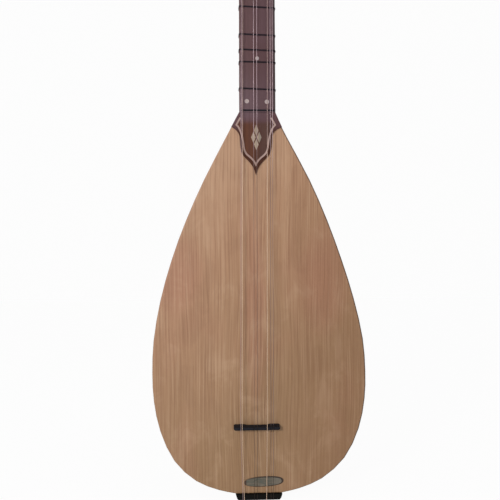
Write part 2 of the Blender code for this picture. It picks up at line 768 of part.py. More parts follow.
def tailpiece():
    """The black string holder on the tail end, with a hole for each string's end."""
    rings = []
    layers = ((-GAP, 0.0), (-GAP - TAILPIECE_HEIGHT * 0.7, 0.45), (TAILPIECE_FACE, 1.0))
    for z, share in layers:
        taper = TAILPIECE_TAPER * share
        half = TAIL_FLAT_WIDTH / 2 + TAILPIECE_MARGIN - taper
        depth = TAIL_FLAT_DEPTH + TAILPIECE_MARGIN - taper
        front = TAILPIECE_MARGIN * share - TAILPIECE_RISE
        ring = half_round(half, depth, z)
        rings.append([Vector((half, front, z))] + ring + [Vector((-half, front, z))])
    made = add_object("tailpiece", loft("tailpiece", rings), BLACK_WOOD)
    for number, string in enumerate(STRINGS, 1):
        start = Vector((string[0], ANCHOR_PLACE, TAILPIECE_FACE - GAP))
        hole = string[3] / 2 + GAP
        name = f"string_hole_{number}"
        cutter = drill(name, start, Vector((0, 0, 1)), ANCHOR_DEPTH + 2 * GAP, hole, sides=8)
        combine(made, cutter, "DIFFERENCE")
    return made


def head_point(x, up, into):
    """A point of the head's own frame: across, up from the neck, and in from its front face."""
    return HEAD_BASE + ACROSS * x + HEAD_UP * up + HEAD_IN * into


def head_half(up):
    """Half the head's width above the blend next to the neck."""
    along = (up - HEAD_BLEND) / (HEAD_LENGTH - HEAD_BLEND)
    return (HEAD_WIDTH_LOW + (HEAD_WIDTH_HIGH - HEAD_WIDTH_LOW) * along) / 2


def head():
    """The tilted head with the seven tapered peg holes."""
    joint = neck_section(NECK_END)
    rings = [[Vector((x, y, HEAD_BASE.z)) for x, y in joint]]
    corner = (HEAD_BACK_EDGE, HEAD_BACK_EDGE)
    for up, narrow in ((HEAD_BLEND, 0), (HEAD_LENGTH - HEAD_CROWN, 0), (HEAD_LENGTH, HEAD_CROWN / 2)):
        half = head_half(up) - narrow
        front, back = narrow / 2, HEAD_THICKNESS - narrow / 2
        ring = section(half, front, back, corner, HEAD_EDGE)
        rings.append([head_point(x, up, y) for x, y in ring])
    made = add_object("head", loft("head", rings), NECK_WOOD)
    for name, origin, axis, reach, _, _ in peg_places():
        cutter = drill(
            f"{name}_hole",
            origin + axis * HEAD_EDGE,
            -axis,
            reach + 2 * HEAD_EDGE,
            PEG_RADIUS + GAP,
            PEG_END_RADIUS + GAP,
        )
        combine(made, cutter, "DIFFERENCE")
    return made


def peg_places():
    """For each peg: name, point on the head's face, way out, wood to cross, side way and turn."""
    places = []
    for i in range(SIDE_PEG_COUNT):
        up = FIRST_SIDE_PEG + PEG_SPACING * i
        half = head_half(up)
        origin = head_point(-half, up, SIDE_PEG_DEPTH)
        places.append((f"side_peg_{i + 1}", origin, -ACROSS, 2 * half, -HEAD_IN))
    for i in range(FRONT_PEG_COUNT):
        up = FIRST_FRONT_PEG + PEG_SPACING * i
        origin = head_point(FRONT_PEG_OFFSET, up, 0)
        places.append((f"front_peg_{i + 1}", origin, -HEAD_IN, HEAD_THICKNESS, ACROSS))
    return [(*place, turn) for place, turn in zip(places, HANDLE_TURNS)]


def peg(name, origin, axis, reach, side, turn):
    """A T-shaped friction peg: a turned shaft with a waist for its string, and a flat handle."""
    collar = PEG_WAIST_LENGTH + PEG_COLLAR_LENGTH
    profile = [
        (0, collar + HANDLE_HEIGHT / 3),
        (PEG_WAIST_RADIUS, collar + HANDLE_HEIGHT / 3),
        (PEG_WAIST_RADIUS, collar),
        (PEG_COLLAR_RADIUS, collar - GAP),
        (PEG_COLLAR_RADIUS, PEG_WAIST_LENGTH + GAP),
        (PEG_WAIST_RADIUS, PEG_WAIST_LENGTH),
        (PEG_WAIST_RADIUS, GAP * 3),
        (PEG_RADIUS, 0),
        (PEG_END_RADIUS, PEG_RECESS - reach),
        (0, PEG_RECESS - reach),
    ]
    bm = bmesh.new()
    points = [bm.verts.new((x, 0, z)) for x, z in profile]
    for a, b in zip(points, points[1:]):
        bm.edges.new((a, b))
    mesh = bpy.data.meshes.new(name)
    bm.to_mesh(mesh)
    bm.free()
    made = add_object(name, mesh, PEG_WOOD)
    made.matrix_world = peg_frame(origin, axis, side) @ Matrix.Rotation(turn, 4, "Z")
    screw = made.modifiers.new("turned", "SCREW")
    screw.axis = "Z"
    screw.steps = screw.render_steps = PEG_SIDES
    screw.use_merge_vertices = True
    screw.merge_threshold = 0.00001
    screw.use_smooth_shade = False
    combine(made, handle(f"{name}_handle", collar - GAP / 2), "UNION")
    return made


def peg_frame(origin, axis, side):
    """The matrix whose Z runs out along the peg and whose X is the way its string comes in on."""
    turn = Matrix((side, axis.cross(side), axis)).transposed().to_4x4()
    return Matrix.Translation(origin) @ turn


def handle(name, bottom):
    """The T handle: a flat waisted plate with its edges broken."""
    half, neck_half_width = HANDLE_WIDTH / 2, HANDLE_NECK / 2
    right = [
        (neck_half_width * 0.9, 0.0),
        (neck_half_width, HANDLE_HEIGHT * 0.18),
        (half * 0.72, HANDLE_HEIGHT * 0.36),
        (half, HANDLE_HEIGHT * 0.58),
        (half * 0.97, HANDLE_HEIGHT * 0.86),
        (half * 0.66, HANDLE_HEIGHT),
    ]
    outline = [(x, bottom + z) for x, z in right] + [(-x, bottom + z) for x, z in reversed(right)]
    bm = bmesh.new()
    bm.from_mesh(plate(name, outline, -HANDLE_THICKNESS / 2, HANDLE_THICKNESS / 2))
    rim = [e for e in bm.edges if abs(e.verts[0].co.y - e.verts[1].co.y) < GAP]
    bmesh.ops.bevel(bm, geom=rim, offset=HANDLE_EDGE, affect="EDGES", segments=1, profile=0.5, material=-1)
    return mesh_of(bm, name)


def rounded(corners, radius, steps=3):
    """A path with its inner corners turned into short arcs."""
    path = [corners[0]]
    for before, here, after in zip(corners, corners[1:], corners[2:]):
        into, out = (before - here), (after - here)
        cut = min(radius, into.length / 2, out.length / 2)
        start, end = here + into.normalized() * cut, here + out.normalized() * cut
        path += interpolate_bezier(start, here.lerp(start, 0.45), here.lerp(end, 0.45), end, steps + 1)
    return path + [corners[-1]]


def string_route(string):
    """The points of one string: tail hole, tailpiece, bridge, nut, and the turns on its peg."""
    tail_x, bridge_x, nut_x, diameter, peg_name = string
    lift = GAP + diameter / 2
    face = TAILPIECE_FACE - lift
    front = -TAILPIECE_RISE - lift
    bridge_y = -GAP - BRIDGE_HEIGHT + NOTCH_DEPTH - lift
    nut_y = NUT_TOP + NOTCH_DEPTH - lift
    tail = [
        Vector((tail_x, ANCHOR_PLACE, TAILPIECE_FACE + ANCHOR_DEPTH)),
        Vector((tail_x, ANCHOR_PLACE, face)),
        Vector((tail_x, front, face)),
        Vector((bridge_x, bridge_y, BRIDGE_PLACE - BRIDGE_TOP / 3)),
    ]
    route = rounded(tail, STRING_BEND)
    route.append(Vector((bridge_x, bridge_y, BRIDGE_PLACE + BRIDGE_TOP / 3)))
    route.append(Vector((nut_x, nut_y, NUT_PLACE)))
    leave = Vector((nut_x, nut_y, NUT_PLACE + NUT_THICKNESS))
    route.append(leave)
    turns = winding(leave, diameter, peg_name)
    print(f"{peg_name} winding: least gap to itself {least_gap([leave] + turns, diameter) / MM:.2f} mm")
    return route + turns


def winding(leave, diameter, peg_name):
    """The turns of a string on its peg's waist, from where it comes on to its end by the head."""
    name, origin, axis, _, side, _ = next(p for p in peg_places() if p[0] == peg_name)
    frame = peg_frame(origin, axis, side)
    radius = PEG_WAIST_RADIUS + GAP + diameter / 2
    pitch = diameter + WINDING_GAP
    start = frame.inverted() @ leave
    come_on = math.atan2(start.y, start.x) + math.acos(radius / math.hypot(start.x, start.y))
    top = PEG_WAIST_LENGTH - GAP - diameter
    count = round(WINDING_TURNS * POINTS_A_TURN)
    points = []
    for i in range(count + 1):
        share = i / POINTS_A_TURN
        angle = come_on + 2 * math.pi * share
        local = Vector((radius * math.cos(angle), radius * math.sin(angle), top - pitch * share))
        points.append(frame @ local)
    return points


def least_gap(points, diameter):
    """The least air between stretches of a tube that aren't next to each other."""
    near = POINTS_A_TURN // 2
    least = min(
        (points[j] - points[i]).length
        for i in range(len(points))
        for j in range(i + near, len(points))
    )
    return least - diameter


def string(number, spec):
    """One string as a round tube along its route."""
    name = f"string_{number}"
    curve = bpy.data.curves.new(name, "CURVE")
    curve.dimensions = "3D"
    curve.bevel_depth = spec[3] / 2
    curve.bevel_resolution = 1
    curve.use_fill_caps = True
    curve.resolution_u = 1
    points = string_route(spec)
    spline = curve.splines.new("POLY")
    spline.points.add(len(points) - 1)
    for slot, point in zip(spline.points, points):
        slot.co = (*point, 1)
    made = bpy.data.objects.new(name, curve)
    curve.materials.append(BRONZE if spec[3] == WOUND_STRING else STEEL)
    PARTS.objects.link(made)
    return made


def build():
    """Builds every piece of the instrument."""
    soundboard()
    for index in range(STAVE_COUNT):
        stave(index)
    tail_block()
    neck_block()
    brace()
    oval_plate()
    neck_overlay()
    inlay_line()
    neck()
    fingerboard()
    for index, (cents, lean) in enumerate(zip(FRET_CENTS, FRET_LEANS)):
        fret(index, cents, lean)
    joint_fret()
    bridge()
    nut()
    tailpiece()
    head()
    for place in peg_places():
        peg(*place)
    for number, spec in enumerate(STRINGS, 1):
        string(number, spec)
    # The origin moves to the middle of the neck in its hanger
    for made in (*PARTS.objects, *CUTTERS.objects):
        made.location -= HANGER


build()
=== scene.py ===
import logging
import math
from dataclasses import dataclass
from enum import Enum
from functools import cache

import bmesh
import bpy
from mathutils import Matrix, Vector
from mathutils.geometry import interpolate_bezier


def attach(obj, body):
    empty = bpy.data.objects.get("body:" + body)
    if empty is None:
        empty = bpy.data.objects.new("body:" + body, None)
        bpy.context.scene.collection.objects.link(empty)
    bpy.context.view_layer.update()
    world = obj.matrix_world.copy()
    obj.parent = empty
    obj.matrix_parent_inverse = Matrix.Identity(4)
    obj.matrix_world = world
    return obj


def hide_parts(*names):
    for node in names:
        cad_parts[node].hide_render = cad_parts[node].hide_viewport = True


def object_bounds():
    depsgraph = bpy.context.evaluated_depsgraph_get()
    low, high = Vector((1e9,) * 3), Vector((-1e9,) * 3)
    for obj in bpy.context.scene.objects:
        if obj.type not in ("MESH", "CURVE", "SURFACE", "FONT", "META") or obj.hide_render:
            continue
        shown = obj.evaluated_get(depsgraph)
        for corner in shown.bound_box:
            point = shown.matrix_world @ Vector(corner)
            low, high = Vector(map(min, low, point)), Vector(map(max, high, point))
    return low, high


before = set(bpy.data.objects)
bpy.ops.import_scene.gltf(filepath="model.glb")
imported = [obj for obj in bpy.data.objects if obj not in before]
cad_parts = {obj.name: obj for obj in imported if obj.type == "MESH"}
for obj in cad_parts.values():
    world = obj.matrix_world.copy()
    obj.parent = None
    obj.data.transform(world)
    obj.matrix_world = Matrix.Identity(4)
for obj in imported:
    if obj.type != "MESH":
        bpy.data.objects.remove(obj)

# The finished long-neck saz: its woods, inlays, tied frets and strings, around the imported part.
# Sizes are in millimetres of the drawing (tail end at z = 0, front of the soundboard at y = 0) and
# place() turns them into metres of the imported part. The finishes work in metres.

CAD_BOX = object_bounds()
MM = 0.001
# Between neighbouring pieces
GAP = 0.3
# Heights of the bridge, of the neck joint and of the nut, which stands a free string's length above
# the bridge, then where the fingerboard's front is
BRIDGE_PLACE = 69.985
SCALE_LENGTH = 880.0
JOINT = 400.0
NUT_PLACE = BRIDGE_PLACE + SCALE_LENGTH
FINGERBOARD_FRONT = -1.3
# The hanger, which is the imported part's origin: how far below the nut it is, its place, and how high
# it lies above the tail end in metres
HANGER_DROP = 12.0
HANGER = Vector((0.0, 12.5, NUT_PLACE - HANGER_DROP))
ORIGIN_UP = HANGER.z * MM
# Corners nearer than this, in metres, are one, and edges up to this many degrees are shaded over
MERGE = 1e-6
SMOOTH = 35.0
log = logging.getLogger("saz")

Colour = tuple[float, float, float, float]
Triple = tuple[float, float, float]


def place(x: float, y: float, z: float) -> Vector:
    """A point of the drawing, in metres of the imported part."""
    return (Vector((x, y, z)) - HANGER) * MM


def shade(*channels: int) -> Colour:
    """A colour written in screen values.

    Args:
        channels: red, green and blue, each from 0 to 255.

    Returns:
        The linear colour that the shader takes.
    """
    parts = (channel / 255 for channel in channels)
    red, green, blue = (p / 12.92 if p <= 0.04045 else ((p + 0.055) / 1.055) ** 2.4 for p in parts)
    return red, green, blue, 1.0


def set_out(name: str, data: bpy.types.ID) -> bpy.types.Object:
    """A new object in the scene.

    Args:
        name: its name.
        data: its mesh, camera or light.

    Returns:
        The object.
    """
    made = bpy.data.objects.new(name, data)
    bpy.context.scene.collection.objects.link(made)
    return made


class GrainLay(Enum):
    """Which way the grain of a piece of wood runs."""

    ALONG = "along the neck"
    RIB = "along a bent rib of the bowl"
    ACROSS = "across the body"


class Sheet:
    """A node tree with short calls that add and join its nodes."""

    def __init__(self, tree: bpy.types.NodeTree) -> None:
        """A sheet over a material's, a world's or a group's node tree."""
        self.tree = tree

    @classmethod
    def of_new_material(cls, name: str) -> tuple["Sheet", bpy.types.Material]:
        """A new material with no nodes.

        Args:
            name: the material's name.

        Returns:
            Its sheet and the material.
        """
        material = bpy.data.materials.new(name)
        material.use_nodes = True
        material.node_tree.nodes.clear()
        return cls(material.node_tree), material

    def add(self, kind: str, inputs: dict[int | str, object] | None = None,
            **settings: object) -> bpy.types.Node:
        """A new node.

        Args:
            kind: its type name.
            inputs: what goes in, by the sockets' names or numbers: values, plain numbers or colours.
            settings: its properties and their values.

        Returns:
            The node.
        """
        node = self.tree.nodes.new(kind)
        for key, setting in settings.items():
            setattr(node, key, setting)
        for key, given in (inputs or {}).items():
            if isinstance(given, Value):
                self.tree.links.new(given.socket, node.inputs[key])
            else:
                node.inputs[key].default_value = given
        return node

    def value(self, kind: str, inputs: dict[int | str, object] | None = None, out: int | str = 0,
              **settings: object) -> "Value":
        """What one socket of a new node puts out."""
        return Value(self, self.add(kind, inputs, **settings).outputs[out])

    def joined(self, *parts: object) -> "Value":
        """A vector from its x, y and z."""
        return self.value("ShaderNodeCombineXYZ", dict(enumerate(parts)))


@dataclass(frozen=True)
class Value:
    """What a socket puts out, with signs and short calls for the nodes that take it further."""

    sheet: Sheet
    socket: bpy.types.NodeSocket

    def math(self, operation: str, *others: object, clamp: bool = False) -> "Value":
        """This value and others through a Math node."""
        return self.sheet.value("ShaderNodeMath", dict(enumerate((self, *others))), operation=operation,
                                use_clamp=clamp)

    def __add__(self, other: object) -> "Value":
        """The sum."""
        return self.math("ADD", other)

    def __sub__(self, other: object) -> "Value":
        """The difference."""
        return self.math("SUBTRACT", other)

    def __mul__(self, other: object) -> "Value":
        """The product."""
        return self.math("MULTIPLY", other)

    def __truediv__(self, other: object) -> "Value":
        """The quotient."""
        return self.math("DIVIDE", other)

    def __abs__(self) -> "Value":
        """The value without its sign."""
        return self.math("ABSOLUTE")

    def spread(self, low: float, high: float, to_low: float = 0.0, to_high: float = 1.0) -> "Value":
        """This value moved smoothly from the range low to high to the range to_low to to_high."""
        inputs = {"Value": self, "From Min": low, "From Max": high, "To Min": to_low, "To Max": to_high}
        return self.sheet.value("ShaderNodeMapRange", inputs, interpolation_type="SMOOTHSTEP")

    def mix(self, first: object, second: object) -> "Value":
        """Two colours mixed, with this value as the share of the second."""
        return self.sheet.value("ShaderNodeMix", {"Factor": self, 6: first, 7: second}, 2, data_type="RGBA")

    def split(self) -> tuple["Value", ...]:
        """The x, y and z of this vector."""
        node = self.sheet.add("ShaderNodeSeparateXYZ", {0: self})
        return tuple(Value(self.sheet, socket) for socket in node.outputs)

    def stretched(self, sizes: Triple, shift: float = 0.0) -> "Value":
        """This vector scaled by a Mapping node, then shifted along z."""
        inputs = {"Vector": self, "Scale": sizes, "Location": (0.0, 0.0, shift)}
        return self.sheet.value("ShaderNodeMapping", inputs)

    def noise(self, detail: float = 2.0, roughness: float = 0.5, distortion: float = 0.0) -> "Value":
        """Noise around 0.5, read at this vector with one cell to a unit."""
        inputs = {"Vector": self, "Scale": 1.0, "Detail": detail, "Roughness": roughness,
                  "Distortion": distortion}
        return self.sheet.value("ShaderNodeTexNoise", inputs, "Fac")

    def ramp(self, *stops: tuple[float, Colour]) -> "Value":
        """The colour of a ramp at this value.

        Args:
            stops: places from 0 to 1 with their colours, in order.

        Returns:
            The colour.
        """
        node = self.sheet.add("ShaderNodeValToRGB", {0: self})
        elements = node.color_ramp.elements
        while len(elements) < len(stops):
            elements.new(1.0)
        for element, (where, colour) in zip(elements, stops):
            element.position, element.color = where, colour
        return Value(self.sheet, node.outputs[0])


Painted = tuple[Value, Value, Value]


class Groups:
    """The effects that several finishes share, each a node group that is made once."""

    @staticmethod
    def start(name: str, *numbers: str) -> tuple[Sheet, dict[str, Value]]:
        """A new group that takes a vector and some numbers.

        Args:
            name: the group's name.
            numbers: what its numbers are called.

        Returns:
            The group's sheet and what it is given, by name.
        """
        sheet = Sheet(bpy.data.node_groups.new(name, "ShaderNodeTree"))
        for label in ("Vector", *numbers):
            kind = "NodeSocketVector" if label == "Vector" else "NodeSocketFloat"
            sheet.tree.interface.new_socket(label, in_out="INPUT", socket_type=kind)
        given = sheet.add("NodeGroupInput")
        return sheet, {label: Value(sheet, given.outputs[label]) for label in ("Vector", *numbers)}

    @staticmethod
    def ended(sheet: Sheet, **results: Value) -> bpy.types.NodeTree:
        """A group with its results put out.

        Args:
            sheet: the group's sheet.
            results: its results, each of them a number.

        Returns:
            The group.
        """
        for label in results:
            sheet.tree.interface.new_socket(label, in_out="OUTPUT", socket_type="NodeSocketFloat")
        sheet.add("NodeGroupOutput", results)
        return sheet.tree

    @staticmethod
    @cache
    def wood_grain() -> bpy.types.NodeTree:
        """Growth rings, fibres and pores of wood whose grain runs along Z.

        Returns:
            The group.
        """
        sheet, given = Groups.start("wood_grain", "Ring Width", "Wander", "Seed")
        x, y, z = given["Vector"].split()
        seeded = z + given["Seed"]
        slow = sheet.joined(x, y, seeded).stretched((22.0, 22.0, 5.0)).noise(1.0)
        drift = (slow - 0.5) * given["Wander"]
        across, deep = x + drift, y + drift
        ring_x, ring_y = across / given["Ring Width"], deep / given["Ring Width"]
        uneven = sheet.joined(ring_x, ring_y * 0.4, seeded * 9.0).noise(3.0, 0.6)
        saw = ((ring_x + uneven * 1.3) * 0.5).math("FRACT")
        late = saw.spread(0.35, 0.9) * saw.spread(1.0, 0.93)
        rings = late * 0.55 + uneven.spread(0.3, 0.7) * 0.45
        spot = sheet.joined(across, deep, seeded)
        fibres = spot.stretched((2600.0, 2600.0, 34.0)).noise(2.0, 0.65)
        figure = spot.stretched((16.0, 16.0, 7.0)).noise(2.0, 0.55)
        return Groups.ended(sheet, Rings=rings, Fibres=fibres, Figure=figure,
                            Height=fibres * 0.5 - rings * 0.4)

    @staticmethod
    @cache
    def hand_wear() -> bpy.types.NodeTree:
        """Where hands have dulled or polished a surface: cloudy patches with fine scratches in them.

        Returns:
            The group.
        """
        sheet, given = Groups.start("hand_wear", "Patch")
        finer = sheet.value("ShaderNodeMath", {0: 1.0, 1: given["Patch"]}, operation="DIVIDE")
        spot = sheet.value("ShaderNodeVectorMath", {0: given["Vector"], "Scale": finer}, operation="SCALE")
        clouds = spot.noise(4.0, 0.6)
        fine = spot.stretched((30.0, 30.0, 11.0)).noise(2.0, distortion=1.2)
        return Groups.ended(sheet, Wear=clouds.spread(0.32, 0.68),
                            Scratches=fine.spread(0.62, 0.70) * clouds.spread(0.4, 0.6))

    @staticmethod
    def placed(tree: bpy.types.NodeTree, where: Value, **numbers: float) -> dict[str, Value]:
        """A group in a material.

        Args:
            tree: the group.
            where: the vector that it is read at.
            numbers: its numbers, with _ for a space.

        Returns:
            What it puts out, by name.
        """
        inputs = {"Vector": where} | {key.replace("_", " "): number for key, number in numbers.items()}
        node = where.sheet.add("ShaderNodeGroup", inputs, node_tree=tree)
        return {socket.name: Value(where.sheet, socket) for socket in node.outputs}


@dataclass(frozen=True)
class Finish:
    """What every finish has: its name, the record's slot, its gloss and its lacquer."""

    name: str
    slot: str
    roughness: float
    gloss_drift: float = 0.12
    lacquer: float = 0.0
    lacquer_roughness: float = 0.2
    relief: float = 0.00004
    shine: float = 0.5
    metal: float = 0.0

    @cache
    def material(self) -> bpy.types.Material:
        """The material, made at its first use.

        Returns:
            The material.
        """
        sheet, material = Sheet.of_new_material(f"{self.name}_finish")
        colour, rough, height = self.paint(sheet.value("ShaderNodeTexCoord", out="Object"))
        bumps = sheet.value("ShaderNodeBump", {"Distance": self.relief, "Strength": 1.0, "Height": height})
        shader = sheet.value("ShaderNodeBsdfPrincipled", {
            "Base Color": colour, "Roughness": rough, "Metallic": self.metal, "Normal": bumps,
            "Coat Weight": self.lacquer, "Coat Roughness": self.lacquer_roughness,
            "Specular IOR Level": self.shine})
        sheet.add("ShaderNodeOutputMaterial", {"Surface": shader})
        return material

    def paint(self, where: Value) -> Painted:
        """The colour, roughness and height of the surface, at a place on the object."""
        raise NotImplementedError

    def worn(self, where: Value, patch: float = 0.04) -> Painted:
        """The roughness with its wear.

        Args:
            where: the place on the object.
            patch: the size of a worn patch in metres.

        Returns:
            The roughness, the wear and the scratches.
        """
        wear = Groups.placed(Groups.hand_wear(), where, Patch=patch)
        low, high = self.roughness - self.gloss_drift / 2, self.roughness + self.gloss_drift / 2
        return wear["Wear"].spread(0.0, 1.0, low, high), wear["Wear"], wear["Scratches"]


@dataclass(frozen=True, kw_only=True)
class Wood(Finish):
    """A wood with growth rings, fibres and figure."""

    early: Colour
    late: Colour
    deep: Colour
    ring_width: float = 0.0022
    wander: float = 0.006
    contrast: float = 0.7
    lay: GrainLay = GrainLay.ALONG
    seed: float = 0.0

    def laid(self, where: Value) -> Value:
        """The place turned so that the grain runs along Z.

        Args:
            where: the place on the object.

        Returns:
            The turned place.
        """
        if self.lay is GrainLay.ALONG:
            return where
        x, y, z = where.split()
        if self.lay is GrainLay.ACROSS:
            return where.sheet.joined(z, y, x)
        inward = y + HANGER.y * MM
        out = (x * x + inward * inward).math("SQRT")
        return where.sheet.joined(x.math("ARCTAN2", inward) * 0.1, 0.0, z - out)

    def paint(self, where: Value) -> Painted:
        """The wood's colour, roughness and height.

        Args:
            where: the place on the object.

        Returns:
            The three values.
        """
        grain = Groups.placed(Groups.wood_grain(), self.laid(where), Ring_Width=self.ring_width,
                              Wander=self.wander, Seed=self.seed)
        rough, wear, scratches = self.worn(where)
        colour = (grain["Rings"] * self.contrast).mix(self.early, self.late)
        colour = grain["Figure"].spread(0.42, 0.72, 0.0, 0.75).mix(colour, self.deep)
        colour = grain["Fibres"].spread(0.60, 0.74, 0.0, 0.35).mix(colour, self.deep)
        colour = (scratches * 0.12).mix(colour, self.early)
        return colour, rough, grain["Height"] + wear * 0.1


@dataclass(frozen=True)
class Soundboard(Finish):
    """The spruce top: pale and warm, and darker and browner towards the tail and the right, which is painted
    shade.
    """

    pale: Colour = shade(181, 145, 117)
    warm: Colour = shade(164, 125, 95)
    low: Colour = shade(145, 113, 81)
    pink: Colour = shade(160, 111, 88)
    line: Colour = shade(112, 74, 50)
    bright: Colour = shade(190, 158, 128)
    edge: Colour = shade(70, 46, 34)
    gap_shade: Colour = shade(40, 26, 20)
    lower_right_shade: Colour = shade(124, 84, 58)
    # Where the top has blushed: middle across, height above the tail end, and half sizes
    blushes: tuple[tuple[float, float, float, float], ...] = (
        (-0.087, 0.229, 0.030, 0.048), (0.067, 0.224, 0.028, 0.060), (-0.003, 0.200, 0.012, 0.120))
    # The painted shade in the gap round the oval plate: middle across, height, half sizes and lean in degrees
    oval: tuple[float, float, float, float, float] = (0.0050, 0.0124, 0.0209, 0.0054, 2.0)
    # The grain's bands: width, length along the grain and strength
    bands: tuple[Triple, ...] = ((0.0060, 0.26, 0.07), (0.0024, 0.11, 0.15), (0.0011, 0.07, 0.24))
    # The thin dark lines: how far apart they lie, and how dark they are
    spacing: float = 0.0036
    ink: float = 0.34

    def paint(self, where: Value) -> Painted:
        """The top's colour, roughness and height.

        Args:
            where: the place on the object.

        Returns:
            The three values.
        """
        x, _, z = where.split()
        up = z + ORIGIN_UP
        grain = Groups.placed(Groups.wood_grain(), where, Ring_Width=0.0021, Wander=0.010, Seed=3.0)
        rough, _, _ = self.worn(where, 0.09)
        clouds = where.stretched((14.0, 14.0, 5.0), 4.3).noise()
        # Painted shade: the pale, warm and low tones run from the lit upper left to the shaded tail and
        # right, with clouds of the wood's own tone mixed in
        level = (up * -2.5 + 0.95 + x * 1.9).math("ADD", clouds * 0.5, clamp=True)
        colour = level.ramp((0.0, self.pale), (0.5, self.warm), (1.0, self.low))
        colour = (self.blushed(where, x, up) * 0.55).mix(colour, self.pink)
        cloudy = where.stretched((38.0, 38.0, 24.0), 2.6).noise(3.0, 0.6, 0.5)
        colour = cloudy.spread(0.50, 0.30, 0.0, 0.16).mix(colour, self.line)
        colour = cloudy.spread(0.52, 0.72, 0.0, 0.26).mix(colour, self.bright)
        dark, light = self.year_lines(x, z)
        between_strings = x.spread(-0.0165, -0.0140) * x.spread(0.0110, 0.0085)
        colour = (dark * between_strings.spread(0.0, 1.0, 1.0, 1.25)).mix(colour, self.line)
        colour = light.mix(colour, self.bright)
        colour = grain["Fibres"].spread(0.56, 0.76, 0.0, 0.24).mix(colour, self.line)
        # Painted shade: the top browner and darker to the right, most of all towards the tail
        lower = up.spread(0.36, 0.24, 0.25, 1.0)
        colour = (x.spread(0.0, 0.09, 0.0, 0.30) * lower).mix(colour, self.lower_right_shade)
        # Painted shade in the gap round the oval plate, heaviest at its right end
        colour = (self.oval_gap_shade(x, up) * x.spread(-0.014, 0.004, 0.4, 0.95)).mix(colour, self.gap_shade)
        # The top's side walls take the dark end-grain colour, and its rubbed edge is drawn darker where it
        # faces right, which is painted shade
        right, facing, _ = where.sheet.value("ShaderNodeNewGeometry", out="True Normal").split()
        turned = abs(facing).spread(0.30, 0.15).math("MAXIMUM", right.spread(0.10, 0.30, 0.0, 0.85))
        return turned.mix(colour, self.edge), rough, grain["Height"]

    def blushed(self, where: Value, x: Value, up: Value) -> Value:
        """Where the top is pinker: three soft places and some clouds.

        Args:
            where: the place on the object.
            x: the place across.
            up: the height above the tail end.

        Returns:
            0 to 1.
        """
        cloud = where.stretched((17.0, 17.0, 9.0), 1.7).noise(3.0, distortion=0.4)
        total = cloud.spread(0.50, 0.74, 0.0, 0.5)
        for middle, high, wide, tall in self.blushes:
            over, rise = (x - middle) / wide, (up - high) / tall
            ragged = over * over + rise * rise + cloud * 1.2
            total = total.math("ADD", ragged.spread(1.9, 0.5), clamp=True)
        return total

    def year_lines(self, x: Value, z: Value) -> tuple[Value, Value]:
        """The year lines: uneven bands and thin lines that fade in and out along the grain.

        Args:
            x: the place across.
            z: the place along the grain.

        Returns:
            How dark and how light the wood is there.
        """
        sheet = x.sheet
        sway = sheet.joined(x * 9.0, 0.0, z * 5.0).noise(1.0)
        across = x + (sway - 0.5) * 0.012
        jitter = sheet.joined(x * 150.0, 4.1, z * 7.0).noise()
        line = (across / self.spacing + jitter * 1.6).math("PINGPONG", 0.5).spread(0.15, 0.02)
        there = sheet.joined(x * 60.0, 7.7, z * 12.0).noise()
        dark, light = line * there.spread(0.40, 0.62, 0.0, self.ink), 0.0
        for width, length, share in self.bands:
            band = sheet.joined(across / width, share, z / length).noise(1.0)
            dark = band.spread(0.50, 0.74, 0.0, share) + dark
            light = band.spread(0.48, 0.26, 0.0, share) + light
        return dark, light

    def oval_gap_shade(self, x: Value, up: Value) -> Value:
        """Where the painted shade in the gap round the oval plate lies.

        Args:
            x: the place across.
            up: the height above the tail end.

        Returns:
            1 on the line, 0 elsewhere.
        """
        middle, level, half_long, half_wide, lean = self.oval
        cos, sin = math.cos(math.radians(lean)), math.sin(math.radians(lean))
        over, high = x - middle, up - level
        wide = abs((over * cos + high * sin) / half_long).math("POWER", 2.5)
        tall = abs((high * cos - over * sin) / half_wide).math("POWER", 2.5)
        return (wide + tall).spread(1.08, 0.92)


